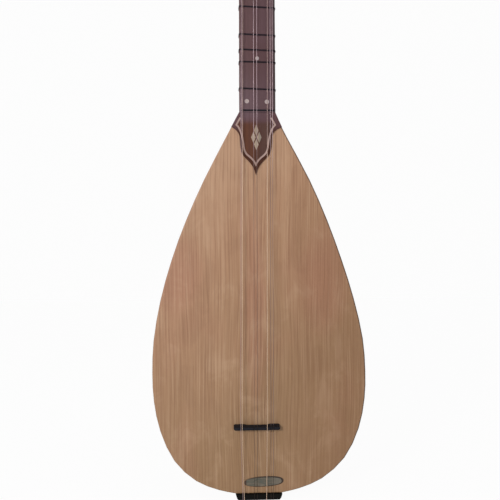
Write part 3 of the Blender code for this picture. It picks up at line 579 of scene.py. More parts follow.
@dataclass(frozen=True)
class Veneer(Finish):
    """The dark wood of the fingerboard and of the pointed overlay."""

    purple: Colour = shade(87, 57, 60)
    bloom: Colour = shade(104, 82, 90)
    brown: Colour = shade(91, 54, 38)
    dusk: Colour = shade(81, 56, 49)
    border: Colour = shade(68, 35, 20)
    late: Colour = shade(64, 40, 39)
    shaded: Colour = shade(74, 48, 58)
    right_edge_shade: Colour = shade(52, 46, 46)
    pointed: bool = False
    offset: float = -0.0019
    # The light line round the overlay: mm below the joint and mm from the overlay's middle, with the
    # largest of each
    outline: tuple[tuple[float, float], ...] = (
        (0.0, 16.2), (5.8, 16.2), (13.3, 20.4), (16.5, 17.3), (24.0, 14.3), (34.0, 12.9), (39.5, 12.1),
        (45.4, 8.2), (50.0, 3.9), (55.1, 0.0), (65.5, 0.0))
    reach: float = 65.5
    half: float = 25.0

    def paint(self, where: Value) -> Painted:
        """The veneer's colour, roughness and height.

        Args:
            where: the place on the object.

        Returns:
            The three values.
        """
        x, _, z = where.split()
        up = z + ORIGIN_UP
        grain = Groups.placed(Groups.wood_grain(), where, Ring_Width=0.0030, Wander=0.006, Seed=8.0)
        rough, _, scratches = self.worn(where, 0.05)
        near_joint = up.spread(0.450, 0.410) * up.spread(0.388, 0.398)
        colour = (near_joint * 0.55).mix(self.purple, self.bloom)
        colour = x.spread(-0.010, 0.008, 0.0, 0.4).mix(colour, self.shaded)
        if self.pointed:
            lower = x.spread(-0.006, 0.006).mix(self.brown, self.dusk)
            colour = up.spread(0.3925, 0.3860).mix(colour, lower)
            centred = abs(x - self.offset)
            outside = up.spread(0.376, 0.390).mix(self.border, self.purple)
            colour = self.outside_line(centred, up).mix(colour, outside)
            streak = centred.spread(0.0008, 0.0002) * up.spread(0.362, 0.354)
            colour = (streak * 0.7).mix(colour, self.border)
        else:
            # Painted shade: the fingerboard's broken right edge drawn darker, as it faces away from the light
            colour = x.spread(0.0160, 0.0170, 0.0, 0.6).mix(colour, self.right_edge_shade)
        colour = (grain["Rings"] * 0.35).mix(colour, self.late)
        colour = grain["Fibres"].spread(0.6, 0.75, 0.0, 0.35).mix(colour, self.late)
        colour = grain["Figure"].spread(0.55, 0.75, 0.0, 0.4).mix(colour, self.border)
        return (scratches * 0.15).mix(colour, self.bloom), rough, grain["Height"]

    def outside_line(self, centred: Value, up: Value) -> Value:
        """Where the overlay lies outside its light line.

        Args:
            centred: the distance from the overlay's middle.
            up: the height above the tail end.

        Returns:
            1 outside the line, 0 inside it.
        """
        below = (up * -1.0 + JOINT * MM) / (self.reach * MM)
        curve = centred.sheet.add("ShaderNodeFloatCurve", {"Value": below})
        line = curve.mapping.curves[0]
        while len(line.points) < len(self.outline):
            line.points.new(1.0, 0.0)
        for point, (down, wide) in zip(line.points, self.outline):
            point.location = (down / self.reach, wide / self.half)
            point.handle_type = "VECTOR"
        curve.mapping.update()
        limit = Value(centred.sheet, curve.outputs[0]) * (self.half * MM)
        return (centred - limit).spread(-0.0002, 0.0002)


@dataclass(frozen=True)
class Shell(Finish):
    """Pearl shell, in the oval plate and the dots."""

    main: Colour = shade(88, 83, 71)
    cool: Colour = shade(75, 79, 72)
    warm: Colour = shade(112, 102, 88)
    right: Colour = shade(118, 108, 96)
    left: Colour = shade(78, 52, 36)
    streak: Triple = (90.0, 90.0, 260.0)
    varied_ends: bool = False

    def paint(self, where: Value) -> Painted:
        """The shell's colour, roughness and height.

        Args:
            where: the place on the object.

        Returns:
            The three values.
        """
        bands = where.stretched(self.streak).noise(3.0, 0.6, 0.8)
        colour = bands.ramp((0.3, self.cool), (0.5, self.main), (0.72, self.warm))
        rough, _, scratches = self.worn(where, 0.01)
        if self.varied_ends:
            x, _, _ = where.split()
            colour = x.spread(0.008, 0.018, 0.0, 0.5).mix(colour, self.right)
            # Painted shade: the plate's left end, beside the gap of its pocket, drawn dark brown
            colour = x.spread(-0.0128, -0.0142).mix(colour, self.left)
        return colour, rough, bands + scratches


@dataclass(frozen=True, kw_only=True)
class Plain(Finish):
    """A fine even stuff with faint streaks along one way: bone, nylon or drawn wire."""

    main: Colour
    second: Colour
    streak: Triple

    def paint(self, where: Value) -> Painted:
        """The stuff's colour, roughness and height.

        Args:
            where: the place on the object.

        Returns:
            The three values.
        """
        streaks = where.stretched(self.streak).noise(3.0, 0.6)
        rough, _, scratches = self.worn(where, 0.02)
        return streaks.spread(0.35, 0.68).mix(self.main, self.second), rough, streaks + scratches * 0.3


@dataclass(frozen=True)
class PlainWire(Plain):
    """Drawn steel wire: bright on the neck, painted shade over the body and bridge, painted shadow over the
    tail.
    """

    # The wire's painted shade over the body, and its painted shade and shadow at the bridge and the tail
    body_shade: Colour = shade(96, 78, 66)
    dark: Colour = shade(44, 38, 34)
    left: float = -0.014
    right: float = 0.0105
    bridge_at: float = 0.070

    def paint(self, where: Value) -> Painted:
        """The wire's colour, roughness and height.

        Args:
            where: the place on the object.

        Returns:
            The three values.
        """
        colour, rough, height = super().paint(where)
        x, _, z = where.split()
        up = z + ORIGIN_UP
        inner = (x.spread(self.left, self.left + 0.002, 0.5, 1.0)
                 * x.spread(self.right, self.right + 0.001, 1.0, 0.86))
        # Painted shade: the wire drawn darker over the body, less so for the outer strings
        colour = (up.spread(0.40, 0.33, 0.0, 0.9) * inner).mix(colour, self.body_shade)
        # Painted shade over the bridge, and the strings' painted shadow over the tail plate, for all but the
        # left strings
        bridge_shade = abs(up - self.bridge_at).spread(0.0046, 0.0034, 0.0, 0.85)
        dark = up.spread(0.024, 0.019, 0.0, 0.85).math("MAXIMUM", bridge_shade)
        colour = (dark * x.spread(self.left, self.left + 0.002)).mix(colour, self.dark)
        return colour, rough, height


@dataclass(frozen=True)
class WoundWire(Finish):
    """A string with fine bronze wire wound round it."""

    main: Colour = shade(214, 188, 166)
    groove_shade: Colour = shade(140, 116, 100)
    neck_tone: Colour = shade(156, 134, 142)
    pitch: float = 0.00032

    def paint(self, where: Value) -> Painted:
        """The winding's colour, roughness and height.

        Args:
            where: the place on the object.

        Returns:
            The three values.
        """
        along = where.sheet.value("ShaderNodeAttribute", out="Fac", attribute_name="along")
        turn = (along / self.pitch).math("PINGPONG", 0.5)
        rough, wear, _ = self.worn(where, 0.02)
        # Darker and pinker over the neck, in patches
        over_neck = (where.split()[2] + ORIGIN_UP).spread(0.30, 0.42, 0.0, 0.85)
        colour = (over_neck * wear.spread(0.0, 1.0, 0.8, 1.0)).mix(self.main, self.neck_tone)
        # Painted shade in the grooves between the turns of the winding
        return turn.spread(0.18, 0.0).mix(colour, self.groove_shade), rough, turn.spread(0.0, 0.5)


@dataclass(frozen=True)
class Diamonds(Wood):
    """The pale maple of the four diamonds, greyer at the right."""

    grey: Colour = shade(128, 116, 104)
    from_x: float = 0.0006
    to_x: float = 0.0024

    def paint(self, where: Value) -> Painted:
        """The wood's colour, roughness and height, at a place on the object."""
        colour, *others = super().paint(where)
        return where.split()[0].spread(self.from_x, self.to_x, 0.0, 0.85).mix(colour, self.grey), *others


SPRUCE = Soundboard("spruce_top", "spruce", roughness=0.48, lacquer=0.05, lacquer_roughness=0.3,
                    relief=0.00002, shine=0.35)
INNER = Wood("inner_spruce", "inner_spruce", roughness=0.6, early=shade(214, 184, 144),
             late=shade(188, 150, 108), deep=shade(176, 138, 98), lay=GrainLay.ACROSS)
MULBERRY = Wood("mulberry_rib", "mulberry", roughness=0.38, shine=0.35, lacquer=0.3, lacquer_roughness=0.16,
                early=shade(162, 108, 60), late=shade(126, 76, 39), deep=shade(106, 61, 32),
                ring_width=0.0026, lay=GrainLay.RIB, seed=1.0)
WALNUT = Wood("walnut_rib", "walnut", roughness=0.38, shine=0.35, lacquer=0.3, lacquer_roughness=0.16,
              early=shade(104, 68, 46), late=shade(70, 44, 30), deep=shade(54, 34, 24), ring_width=0.003,
              lay=GrainLay.RIB, seed=5.0)
NECK_WOOD = Wood("neck_wood", "neck_wood", roughness=0.42, shine=0.35, lacquer=0.18, lacquer_roughness=0.25,
                 early=shade(132, 87, 61), late=shade(102, 64, 43), deep=shade(82, 50, 35),
                 ring_width=0.003, wander=0.008, seed=2.0)
FINGERBOARD = Veneer("fingerboard_wood", "dark_veneer", roughness=0.45, lacquer=0.05, shine=0.4)
OVERLAY = Veneer("overlay_wood", "dark_veneer", roughness=0.5, shine=0.15, pointed=True,
                 purple=shade(96, 69, 73), bloom=shade(108, 88, 95), shaded=shade(84, 60, 68))
MAPLE = Wood("maple_line", "maple_line", roughness=0.4, early=shade(172, 146, 138),
             late=shade(158, 128, 120), deep=shade(140, 108, 98), ring_width=0.0012)
OVAL_SHELL = Shell("oval_shell", "pearl", roughness=0.34, lacquer=0.1, shine=0.35, varied_ends=True)
DOT_SHELL = Shell("dot_shell", "pearl", roughness=0.28, main=shade(166, 150, 148), cool=shade(150, 142, 146),
                  warm=shade(180, 160, 152), streak=(400.0, 400.0, 700.0))
DIAMOND_WOOD = Diamonds("diamond_maple", "maple_line", roughness=0.4, early=shade(170, 151, 132),
                        late=shade(148, 129, 110), deep=shade(132, 112, 94), ring_width=0.0014, seed=6.0)
BLACK_WOOD = Wood("black_wood", "black_wood", roughness=0.5, shine=0.12, early=shade(27, 27, 34),
                  late=shade(15, 15, 20), deep=shade(10, 10, 13), ring_width=0.0012, lay=GrainLay.ACROSS)
# Painted shade: a darker, less shiny copy of the black wood for the string holder, which the floor lights
# more
SHADED_BLACK_WOOD = Wood("shaded_black_wood", "black_wood", roughness=0.55, shine=0.05, early=shade(19, 18, 16),
                   late=shade(10, 10, 9), deep=shade(7, 7, 6), ring_width=0.0012, lay=GrainLay.ACROSS)
BONE = Plain("bone", "bone", roughness=0.35, main=shade(214, 204, 184), second=shade(203, 190, 166),
             streak=(500.0, 500.0, 140.0))
NYLON = Plain("fret_nylon", "fret_nylon", roughness=0.5, shine=0.2, main=shade(34, 22, 32),
              second=shade(23, 14, 21), streak=(300.0, 300.0, 900.0))
STEEL = PlainWire("string_steel", "string_steel", roughness=0.5, main=shade(222, 199, 206),
                  second=shade(198, 175, 182), streak=(200.0, 200.0, 18.0), metal=1.0, relief=0.000004)
BRONZE = WoundWire("string_bronze", "string_bronze", roughness=0.48, relief=0.00002, metal=1.0)
PEG_WOOD = Wood("peg_wood", "peg_wood", roughness=0.3, lacquer=0.3, early=shade(84, 52, 38),
                late=shade(54, 32, 24), deep=shade(44, 26, 20), ring_width=0.0016, wander=0.004, seed=4.0)


class Bench:
    """Where pieces are made and set on the instrument."""

    @staticmethod
    def piece(name: str, mesh: bpy.types.Mesh, finish: Finish, *stands_for: str, body: str = "saz") -> None:
        """Sets a finished piece on its body.

        Args:
            name: the piece's name.
            mesh: its mesh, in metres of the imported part.
            finish: its finish.
            stands_for: the nodes that it replaces.
            body: the body that it moves with.
        """
        mesh.name = name
        mesh.materials.append(finish.material())
        made = set_out(name, mesh)
        even = made.modifiers.new("even_normals", "WEIGHTED_NORMAL")
        even.keep_sharp = True
        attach(made, body)
        if stands_for:
            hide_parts(*stands_for)
        log.info("%s: %d faces, on %s", name, len(mesh.polygons), body)

    @staticmethod
    def dress(node: str, finish: Finish) -> None:
        """Gives a CAD node its finish.

        Args:
            node: the node's name.
            finish: the finish.
        """
        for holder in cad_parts[node].material_slots:
            holder.material = finish.material()
        log.info("%s: dressed in %s", node, finish.name)

    @staticmethod
    def mesh_of(bm: bmesh.types.BMesh, smooth: float = SMOOTH) -> bpy.types.Mesh:
        """A mesh from a bmesh, merged, facing outwards and shaded.

        Args:
            bm: the bmesh, freed here.
            smooth: the widest angle in degrees that is shaded over.

        Returns:
            The mesh.
        """
        bmesh.ops.remove_doubles(bm, verts=bm.verts, dist=MERGE)
        bmesh.ops.recalc_face_normals(bm, faces=bm.faces)
        if bm.calc_volume(signed=True) < 0.0:
            bmesh.ops.reverse_faces(bm, faces=bm.faces)
        mesh = bpy.data.meshes.new("piece")
        bm.to_mesh(mesh)
        bm.free()
        mesh.shade_smooth()
        mesh.set_sharp_from_angle(angle=math.radians(smooth))
        return mesh

    @staticmethod
    def opened(node: str, flat: float = 0.6) -> bmesh.types.BMesh:
        """A copy of a CAD node's mesh, merged, with its flat faces joined.

        Args:
            node: the node's name.
            flat: the widest angle in degrees between faces that are joined into one.

        Returns:
            The bmesh.
        """
        bm = bmesh.new()
        bm.from_mesh(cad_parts[node].data)
        bmesh.ops.remove_doubles(bm, verts=bm.verts, dist=MERGE)
        bmesh.ops.dissolve_limit(bm, angle_limit=math.radians(flat), verts=bm.verts, edges=bm.edges)
        return bm

    @staticmethod
    def broken(bm: bmesh.types.BMesh, edges: list[bmesh.types.BMEdge], width: float, segments: int = 2,
               clamp: bool = True) -> None:
        """Breaks some edges of a bmesh by a width in mm."""
        bmesh.ops.bevel(bm, geom=edges, offset=width * MM, affect="EDGES", segments=segments, profile=0.5,
                        material=-1, clamp_overlap=clamp)

    @staticmethod
    def eased(node: str, edge: float = 0.0, ends: float = 0.0, flat: float = 0.6) -> bpy.types.Mesh:
        """A merged and smoothly shaded copy of a CAD node's mesh, with its edges broken.

        Args:
            node: the node's name.
            edge: the width of the broken edges in mm.
            ends: how far the corners of the two faces at the ends of x are rounded, in mm.
            flat: the widest angle in degrees between faces that are joined into one.

        Returns:
            The mesh.
        """
        bm = Bench.opened(node, flat)
        if ends:
            low, high = (pick(v.co.x for v in bm.verts) for pick in (min, max))
            corners = [e for e in bm.edges if abs(e.verts[0].co.y - e.verts[1].co.y) > MERGE
                       and any(all(abs(v.co.x - end) < MERGE for v in e.verts) for end in (low, high))]
            Bench.broken(bm, corners, ends, segments=3, clamp=False)
        if edge:
            sharp = [e for e in bm.edges if e.is_manifold and e.calc_face_angle() > math.radians(SMOOTH)]
            Bench.broken(bm, sharp, edge)
        return Bench.mesh_of(bm)

    @staticmethod
    def wire(points: list[Vector], radius: float, ring: int = 2, smooth: float = 60.0,
             ahead: int = 3) -> bpy.types.Mesh:
        """A round wire drawn along a path, closed at both ends.

        Args:
            points: the path in metres.
            radius: the wire's radius in metres.
            ring: the fineness of its section.
            smooth: the widest angle in degrees that is shaded over.
            ahead: how many points of the path may lie between one corner of the mesh and the next.

        Returns:
            The mesh, with the length along the wire kept as the attribute "along".
        """
        curve = bpy.data.curves.new("path", "CURVE")
        curve.dimensions = "3D"
        curve.bevel_depth, curve.bevel_resolution, curve.use_fill_caps = radius, ring, True
        spline = curve.splines.new("POLY")
        spline.points.add(len(points) - 1)
        for knot, point in zip(spline.points, points):
            knot.co = (*point, 1.0)
        drawn = bpy.data.objects.new("path", curve)
        bm = bmesh.new()
        bm.from_mesh(bpy.data.meshes.new_from_object(drawn))
        bpy.data.objects.remove(drawn)
        mesh = Bench.mesh_of(bm, smooth)
        reached = [0.0]
        for before, after in zip(points, points[1:]):
            reached.append(reached[-1] + (after - before).length)
        along = mesh.attributes.new("along", "FLOAT", "POINT")
        nearest = 0
        for index, vertex in enumerate(mesh.vertices):
            window = range(max(0, nearest - ahead), min(len(points), nearest + ahead + 1))
            nearest = min(window, key=lambda i: (points[i] - vertex.co).length_squared)
            along.data[index].value = reached[nearest]
        return mesh


@dataclass
class Body:
    """The bowl, the blocks inside it and the soundboard."""

    ribs: int = 9
    # The top's outer edge: how far it is rubbed round, the angle from which it counts as an edge, and
    # the widest angle that is shaded over, in degrees
    top_edge: float = 1.3
    edge_angle: float = 60.0
    smooth: float = 40.0
    # The oval's pocket keeps its sharp edges: its middle across, height and half sizes
    pocket: tuple[float, float, float, float] = (4.3, 12.0, 22.0, 6.2)

    def build(self) -> None:
        """Dresses the body's pieces."""
        Bench.piece("spruce_top", self.top(), SPRUCE, "soundboard")
        for node in ("tail_block", "neck_block", "soundboard_brace"):
            Bench.dress(node, INNER)
        for index in range(1, self.ribs + 1):
            stave = f"bowl_stave_{index}"
            Bench.piece(f"bowl_rib_{index}", Bench.eased(stave), MULBERRY if index % 2 else WALNUT, stave)

    def top(self) -> bpy.types.Mesh:
        """The soundboard with its outer edge rubbed round.

        Returns:
            The mesh.
        """
        bm = Bench.opened("soundboard")
        middle, high, wide, tall = self.pocket
        front = place(0.0, 0.0, 0.0).y
        rubbed = []
        for edge in bm.edges:
            if edge.is_manifold and edge.calc_face_angle() > math.radians(self.edge_angle):
                spot = edge.verts[0].co / MM + HANGER
                over, rise = (spot.x - middle) / wide, (spot.z - high) / tall
                at_front = all(abs(v.co.y - front) < MERGE for v in edge.verts)
                if at_front and over * over + rise * rise > 1.0:
                    rubbed.append(edge)
        Bench.broken(bm, rubbed, self.top_edge, segments=3)
        return Bench.mesh_of(bm, self.smooth)


@dataclass
class Overlay:
    """The pointed dark overlay on the neck joint, its light line and its four diamonds."""

    # The diamonds: the middle of their cross, their half sizes, and the wood left between them
    centre: tuple[float, float] = (-1.4, 373.6)
    half_width: float = 2.45
    half_height: float = 6.0
    between: tuple[float, float] = (1.2, 2.8)
    thickness: float = 0.3
    proud: float = 0.06
    edge: float = 0.05

    def build(self) -> None:
        """Dresses the overlay and its line and lays in the diamonds."""
        Bench.dress("neck_overlay", OVERLAY)
        Bench.dress("inlay_line", MAPLE)
        Bench.piece("light_diamonds", self.diamonds(), DIAMOND_WOOD)

    def diamonds(self) -> bpy.types.Mesh:
        """Four thin diamonds set in a cross.

        Returns:
            The mesh.
        """
        bm = bmesh.new()
        upright = Matrix.Rotation(math.radians(90), 3, "X")
        out, rise = self.half_width + self.between[0] / 2, self.half_height + self.between[1] / 2
        for over, up in ((-out, 0.0), (out, 0.0), (0.0, -rise), (0.0, rise)):
            corners = bmesh.ops.create_circle(bm, segments=4, radius=1.0, cap_ends=True)["verts"]
            bmesh.ops.scale(bm, vec=(self.half_width, self.half_height, 1.0), verts=corners)
            bmesh.ops.rotate(bm, cent=(0, 0, 0), matrix=upright, verts=corners)
            grown = bmesh.ops.extrude_face_region(bm, geom=[corners[0].link_faces[0]])["geom"]
            moved = [v for v in grown if isinstance(v, bmesh.types.BMVert)]
            bmesh.ops.translate(bm, vec=(0.0, -self.thickness, 0.0), verts=moved)
            shift = Vector((self.centre[0] + over, FINGERBOARD_FRONT - self.proud + self.thickness,
                            self.centre[1] + up))
            bmesh.ops.translate(bm, vec=shift, verts=corners + moved)
        front = [e for e in bm.edges if all(v.co.y < FINGERBOARD_FRONT for v in e.verts)]
        bmesh.ops.bevel(bm, geom=front, offset=self.edge, affect="EDGES", segments=1, profile=0.5,
                        material=-1)
        bmesh.ops.translate(bm, vec=-HANGER, verts=bm.verts)
        bmesh.ops.scale(bm, vec=(MM, MM, MM), verts=bm.verts)
        return Bench.mesh_of(bm)


@dataclass(frozen=True)
class NeckSection:
    """The outline of the neck with its fingerboard, anywhere above its heel."""

    # The neck's width and depth, at the joint and at the nut
    width: tuple[float, float] = (38.0, 35.0)
    depth: tuple[float, float] = (24.0, 21.0)
    # How deep the neck's flat sides are, how far the fingerboard's edges are broken, and where its back is
    side: float = 6.0
    edge: float = 1.3
    front: float = 2.0

    def points(self, z: float, grow: float, steps: int = 10) -> list[tuple[float, float]]:
        """The outline's points, from the left edge over the back to the right and over the front.

        Args:
            z: the height in mm.
            grow: how far outside the wood they lie.
            steps: points on each round corner of the back.

        Returns:
            Places across and in, in mm.
        """
        share = (z - JOINT) / (NUT_PLACE - JOINT)
        half = (self.width[0] + (self.width[1] - self.width[0]) * share) / 2 + grow
        back = self.front + self.depth[0] + (self.depth[1] - self.depth[0]) * share + grow
        deep = back - self.front - self.side
        front, edge = FINGERBOARD_FRONT - grow, self.edge + grow / 2
        left = [(-half, front + edge), (-half, (front + edge + back - deep) / 2)]
        for i in range(steps + 1):
            turn = math.pi / 2 * i / steps
            left.append((-half * math.cos(turn), back - deep + deep * math.sin(turn)))
        right = [(-x, y) for x, y in reversed(left[:-1])]
        return left + right + [(half - edge, front), (-half + edge, front)]


@dataclass
class Neck:
    """The neck, its fingerboard with pearl dots, the head and the nut."""

    # Each dot's place across, its height and its width
    dots: tuple[Triple, ...] = ((-0.2, 456.4, 4.1), (-11.2, 411.4, 4.7), (9.9, 410.9, 4.7),
                                (0.0, 535.5, 4.7), (0.0, 655.0, 4.7), (0.0, 851.0, 4.7))
    thickness: float = 0.4
    proud: float = 0.04
    taper: float = 0.05
    segments: int = 28
    nut_edge: float = 0.15
    fret_edge: float = 0.12

    def build(self) -> None:
        """Dresses the neck and its head and sets the dots in."""
        Bench.dress("fingerboard", FINGERBOARD)
        Bench.piece("neck_shaft", Bench.eased("neck"), NECK_WOOD, "neck")
        Bench.piece("peg_head", Bench.eased("head"), NECK_WOOD, "head")
        Bench.piece("bone_nut", Bench.eased("nut", self.nut_edge), BONE, "nut")
        Bench.piece("joint_fret_bar", Bench.eased("joint_fret", self.fret_edge), BLACK_WOOD, "joint_fret")
        Bench.piece("pearl_dots", self.pearl_dots(), DOT_SHELL)

    def pearl_dots(self) -> bpy.types.Mesh:
        """The round dots let into the fingerboard.

        Returns:
            The mesh.
        """
        bm = bmesh.new()
        upright = Matrix.Rotation(math.radians(90), 4, "X")
        for x, z, wide in self.dots:
            middle = place(x, FINGERBOARD_FRONT - self.proud + self.thickness / 2, z)
            bmesh.ops.create_cone(bm, cap_ends=True, segments=self.segments, radius1=wide / 2 * MM,
                                  radius2=(wide / 2 - self.taper) * MM, depth=self.thickness * MM,
                                  matrix=Matrix.Translation(middle) @ upright)
        return Bench.mesh_of(bm)


@dataclass
class TiedFrets:
    """The tied frets: three turns of nylon round the neck, with a knot at the back's left corner."""

    # How far each fret raises the open string, in cents
    cents: tuple[int, ...] = (90, 146, 204, 294, 350, 408, 498, 588, 648, 702, 792, 852, 906, 996, 1052,
                              1110, 1200, 1318, 1387, 1443, 1576)
    # How far each fret's right end is lower, in degrees
    leans: tuple[float, ...] = (1.6, 2.1, 1.3, 2.4, 1.7, 2.0, 1.5, 2.3, 1.9, 1.4, 2.2, 1.6, 2.0, 1.8, 2.3,
                                1.5, 2.5, 1.9, 1.9, 1.0, 2.4)
    line: float = 0.56
    pitch: float = 0.57
    turns: int = 3
    clear: float = 0.04
    # The knot: its turns, the outline's point where it sits, its points in a turn, and how far, in
    # thicknesses of the line, it stands off and moves on in a turn
    knot_turns: float = 2.25
    knot_point: int = 6
    knot_steps: int = 12
    knot_off: float = 1.05
    knot_step: float = 0.25
    section: NeckSection = NeckSection()

    def build(self) -> None:
        """Ties every fret."""
        for number, (cent, lean) in enumerate(zip(self.cents, self.leans), start=1):
            fret = f"fret_{number:02d}"
            z = BRIDGE_PLACE + SCALE_LENGTH * 2 ** (-cent / 1200)
            Bench.piece(f"nylon_{fret}", self.tied(z, lean), NYLON, fret, body=fret)

    def tied(self, z: float, lean: float) -> bpy.types.Mesh:
        """One fret: its turns, then the knot round them.

        Args:
            z: its height at the middle in mm.
            lean: how far its right end is lower, in degrees.

        Returns:
            The mesh.
        """
        outline = self.section.points(z, self.clear + self.line / 2)
        outline = outline[self.knot_point:] + outline[:self.knot_point]
        count, slope = len(outline), math.tan(math.radians(lean))
        path = []
        for step in range(self.turns * count + 1):
            x, y = outline[step % count]
            rise = self.pitch * (step / count - self.turns / 2)
            path.append(place(x, y, z + rise - x * slope))
        path += self.knot(Vector(outline[0]), Vector(outline[1]), z, slope)
        return Bench.wire(path, self.line / 2 * MM, ring=1)

    def knot(self, here: Vector, ahead: Vector, z: float, slope: float) -> list[Vector]:
        """The knot: the free end taken twice round the three turns.

        Args:
            here: the point of the outline where it sits.
            ahead: the outline's next point.
            z: the fret's height.
            slope: the fret's lean.

        Returns:
            The end of the wire's path.
        """
        half, points = self.turns * self.pitch / 2 + self.line / 2, []
        along = (ahead - here).normalized()
        out = Vector((-along.y, along.x))
        for i in range(round(self.knot_turns * self.knot_steps) + 1):
            angle = 2 * math.pi * i / self.knot_steps
            off = max(0.0, math.cos(angle)) * self.line * self.knot_off
            spot = here + out * off + along * (self.knot_step * self.line * i / self.knot_steps)
            points.append(place(spot.x, spot.y, z - spot.x * slope + half * math.sin(angle)))
        return points


@dataclass
class Strings:
    """Seven strings, from the tail over the bridge and the nut to their turns on the pegs."""

    # Each string's place across at the tail, the bridge and the nut, whether it is wound, and its peg
    rows: tuple[tuple[float, float, float, bool, str], ...] = (
        (-17.0, -19.3, -14.1, False, "side_peg_1"), (-15.5, -17.8, -12.6, True, "side_peg_2"),
        (-4.8, -5.3, -2.9, False, "side_peg_3"), (-1.8, -1.9, 0.4, False, "front_peg_1"),
        (7.7, 8.3, 12.5, True, "front_peg_2"), (12.4, 12.2, 14.4, False, "front_peg_3"),
        (14.8, 14.8, 16.1, False, "front_peg_4"))
    plain: float = 0.36
    wound: float = 0.62
    bend: float = 0.9
    bend_steps: int = 5
    bend_pull: float = 0.45
    clear: float = 0.04
    # Over the bridge the strings run flat from this far below its middle to this far above it, and a
    # little higher than its notches, so that the bridge slides freely under them
    flat_from: float = 2.6
    flat_to: float = 1.0
    slack: float = 0.1
    # The string holder: its front and its lower face, how deep the strings end in it, and how far back
    holder: tuple[float, float, float, float] = (-2.5, -6.3, 3.2, 12.0)
    # The tops of the bridge and of the nut, the depth of their notches, and the way over the nut
    tops: tuple[float, float] = (-GAP - 8.5, -3.3)
    notch: float = 0.7
    nut_length: float = 5.0
    turn_points: int = 24
    turn_gap: float = 0.06
    most_turns: float = 8.0
    # How near the peg's middle a string's end comes, as a share of its turns' radius
    end_share: float = 0.3

    def build(self) -> None:
        """Draws every string."""
        for number, (tail, bridge, nut, is_wound, peg) in enumerate(self.rows, start=1):
            thick = self.wound if is_wound else self.plain
            mesh = Bench.wire(self.route(tail, bridge, nut, thick, peg), thick / 2 * MM)
            Bench.piece(f"wire_{number}", mesh, BRONZE if is_wound else STEEL, f"string_{number}")

    def route(self, tail_x: float, bridge_x: float, nut_x: float, thick: float, peg: str) -> list[Vector]:
        """The path of one string.

        Args:
            tail_x: where it leaves the tailpiece.
            bridge_x: where it crosses the bridge.
            nut_x: where it crosses the nut.
            thick: its diameter in mm.
            peg: the peg that it is wound on.

        Returns:
            The path in metres.
        """
        lift = self.clear + thick / 2
        holder_front, holder_face, deep, back = self.holder
        face, front = holder_face - lift, holder_front - lift
        bridge_y, nut_y = (top + self.notch - lift for top in self.tops)
        bridge_y -= self.slack
        corners = [Vector((tail_x, back, holder_face + deep)), Vector((tail_x, back, face)),
                   Vector((tail_x, front, face)), Vector((bridge_x, bridge_y, BRIDGE_PLACE - self.flat_from))]
        path = [corners[0]]
        for before, here, after in zip(corners, corners[1:], corners[2:]):
            start = here + (before - here).normalized() * self.bend
            end = here + (after - here).normalized() * self.bend
            path += interpolate_bezier(start, here.lerp(start, self.bend_pull),
                                       here.lerp(end, self.bend_pull), end, self.bend_steps)
        leave = Vector((nut_x, nut_y, NUT_PLACE + self.nut_length))
        path += [corners[-1], Vector((bridge_x, bridge_y, BRIDGE_PLACE + self.flat_to)),
                 Vector((nut_x, nut_y, NUT_PLACE)), leave]
        path += self.winding(leave, thick, peg)
        return [(point - HANGER) * MM for point in path]

    def winding(self, leave: Vector, thick: float, peg: str) -> list[Vector]:
        """The turns on a peg, and the end that goes into it.

        Args:
            leave: where the string leaves the nut.
            thick: its diameter in mm.
            peg: the peg's name.

        Returns:
            The points in mm of the drawing.
        """
        pegs = Pegs()
        peg_frame, radius = pegs.frame_of(peg), pegs.waist + self.clear + thick / 2
        start = peg_frame.inverted() @ leave
        come_on = math.atan2(start.y, start.x) + math.acos(radius / math.hypot(start.x, start.y))
        top, pitch = pegs.waist_length - GAP - thick, thick + self.turn_gap
        turns = min((top - thick) / pitch - 1.0, self.most_turns)
        points = []
        for i in range(round(turns * self.turn_points) + 1):
            angle = come_on + 2 * math.pi * i / self.turn_points
            points.append(Vector((radius * math.cos(angle), radius * math.sin(angle),
                                  top - pitch * i / self.turn_points)))
        last = points[-1]
        points.append(Vector((last.x * self.end_share, last.y * self.end_share, last.z - thick)))
        return [peg_frame @ point for point in points]


@dataclass
class Pegs:
    """The seven friction pegs of the tilted head."""

    waist: float = 3.0
    waist_length: float = 8.4
    edge: float = 0.25
    # The head: its tilt in degrees, its front where it starts, and how far above the nut's place that is
    tilt: float = 12.0
    base: tuple[float, float] = (2.0, 5.9)
    # The pegs: how far apart they stand, how far up the head each row starts, how far right of the
    # middle the front ones stand and how far behind the front the side ones
    spacing: float = 36.0
    first_front: float = 34.0
    first_side: float = 52.0
    front_offset: float = 1.5
    side_depth: float = 8.0
    # The head's width near its start and near its end, and how far up it those places are
    widths: tuple[float, float] = (29.0, 25.0)
    heights: tuple[float, float] = (22.0, 172.0)

    def build(self) -> None:
        """Dresses every peg."""
        for side, count in (("front", 4), ("side", 3)):
            for number in range(1, count + 1):
                node = f"{side}_peg_{number}"
                Bench.piece(f"{node}_turned", Bench.eased(node, self.edge), PEG_WOOD, node, body=node)

    def frame_of(self, peg: str) -> Matrix:
        """Where a peg stands.

        Args:
            peg: its name.

        Returns:
            Its frame in mm of the drawing, with Z along it.
        """
        tilt = math.radians(self.tilt)
        base = Vector((0.0, self.base[0], NUT_PLACE + self.base[1] + GAP))
        up = Vector((0.0, math.sin(tilt), math.cos(tilt)))
        inward = Vector((0.0, math.cos(tilt), -math.sin(tilt)))
        above = self.spacing * (int(peg[-1]) - 1)
        if peg.startswith("side"):
            high = self.first_side + above
            share = (high - self.heights[0]) / (self.heights[1] - self.heights[0])
            half = (self.widths[0] + (self.widths[1] - self.widths[0]) * share) / 2
            origin = base + up * high + inward * self.side_depth + Vector((-half, 0, 0))
            axis, side = Vector((-1, 0, 0)), -inward
        else:
            origin = base + up * (self.first_front + above) + Vector((self.front_offset, 0, 0))
            axis, side = -inward, Vector((1, 0, 0))
        turn = Matrix((side, axis.cross(side), axis)).transposed().to_4x4()
        return Matrix.Translation(origin) @ turn


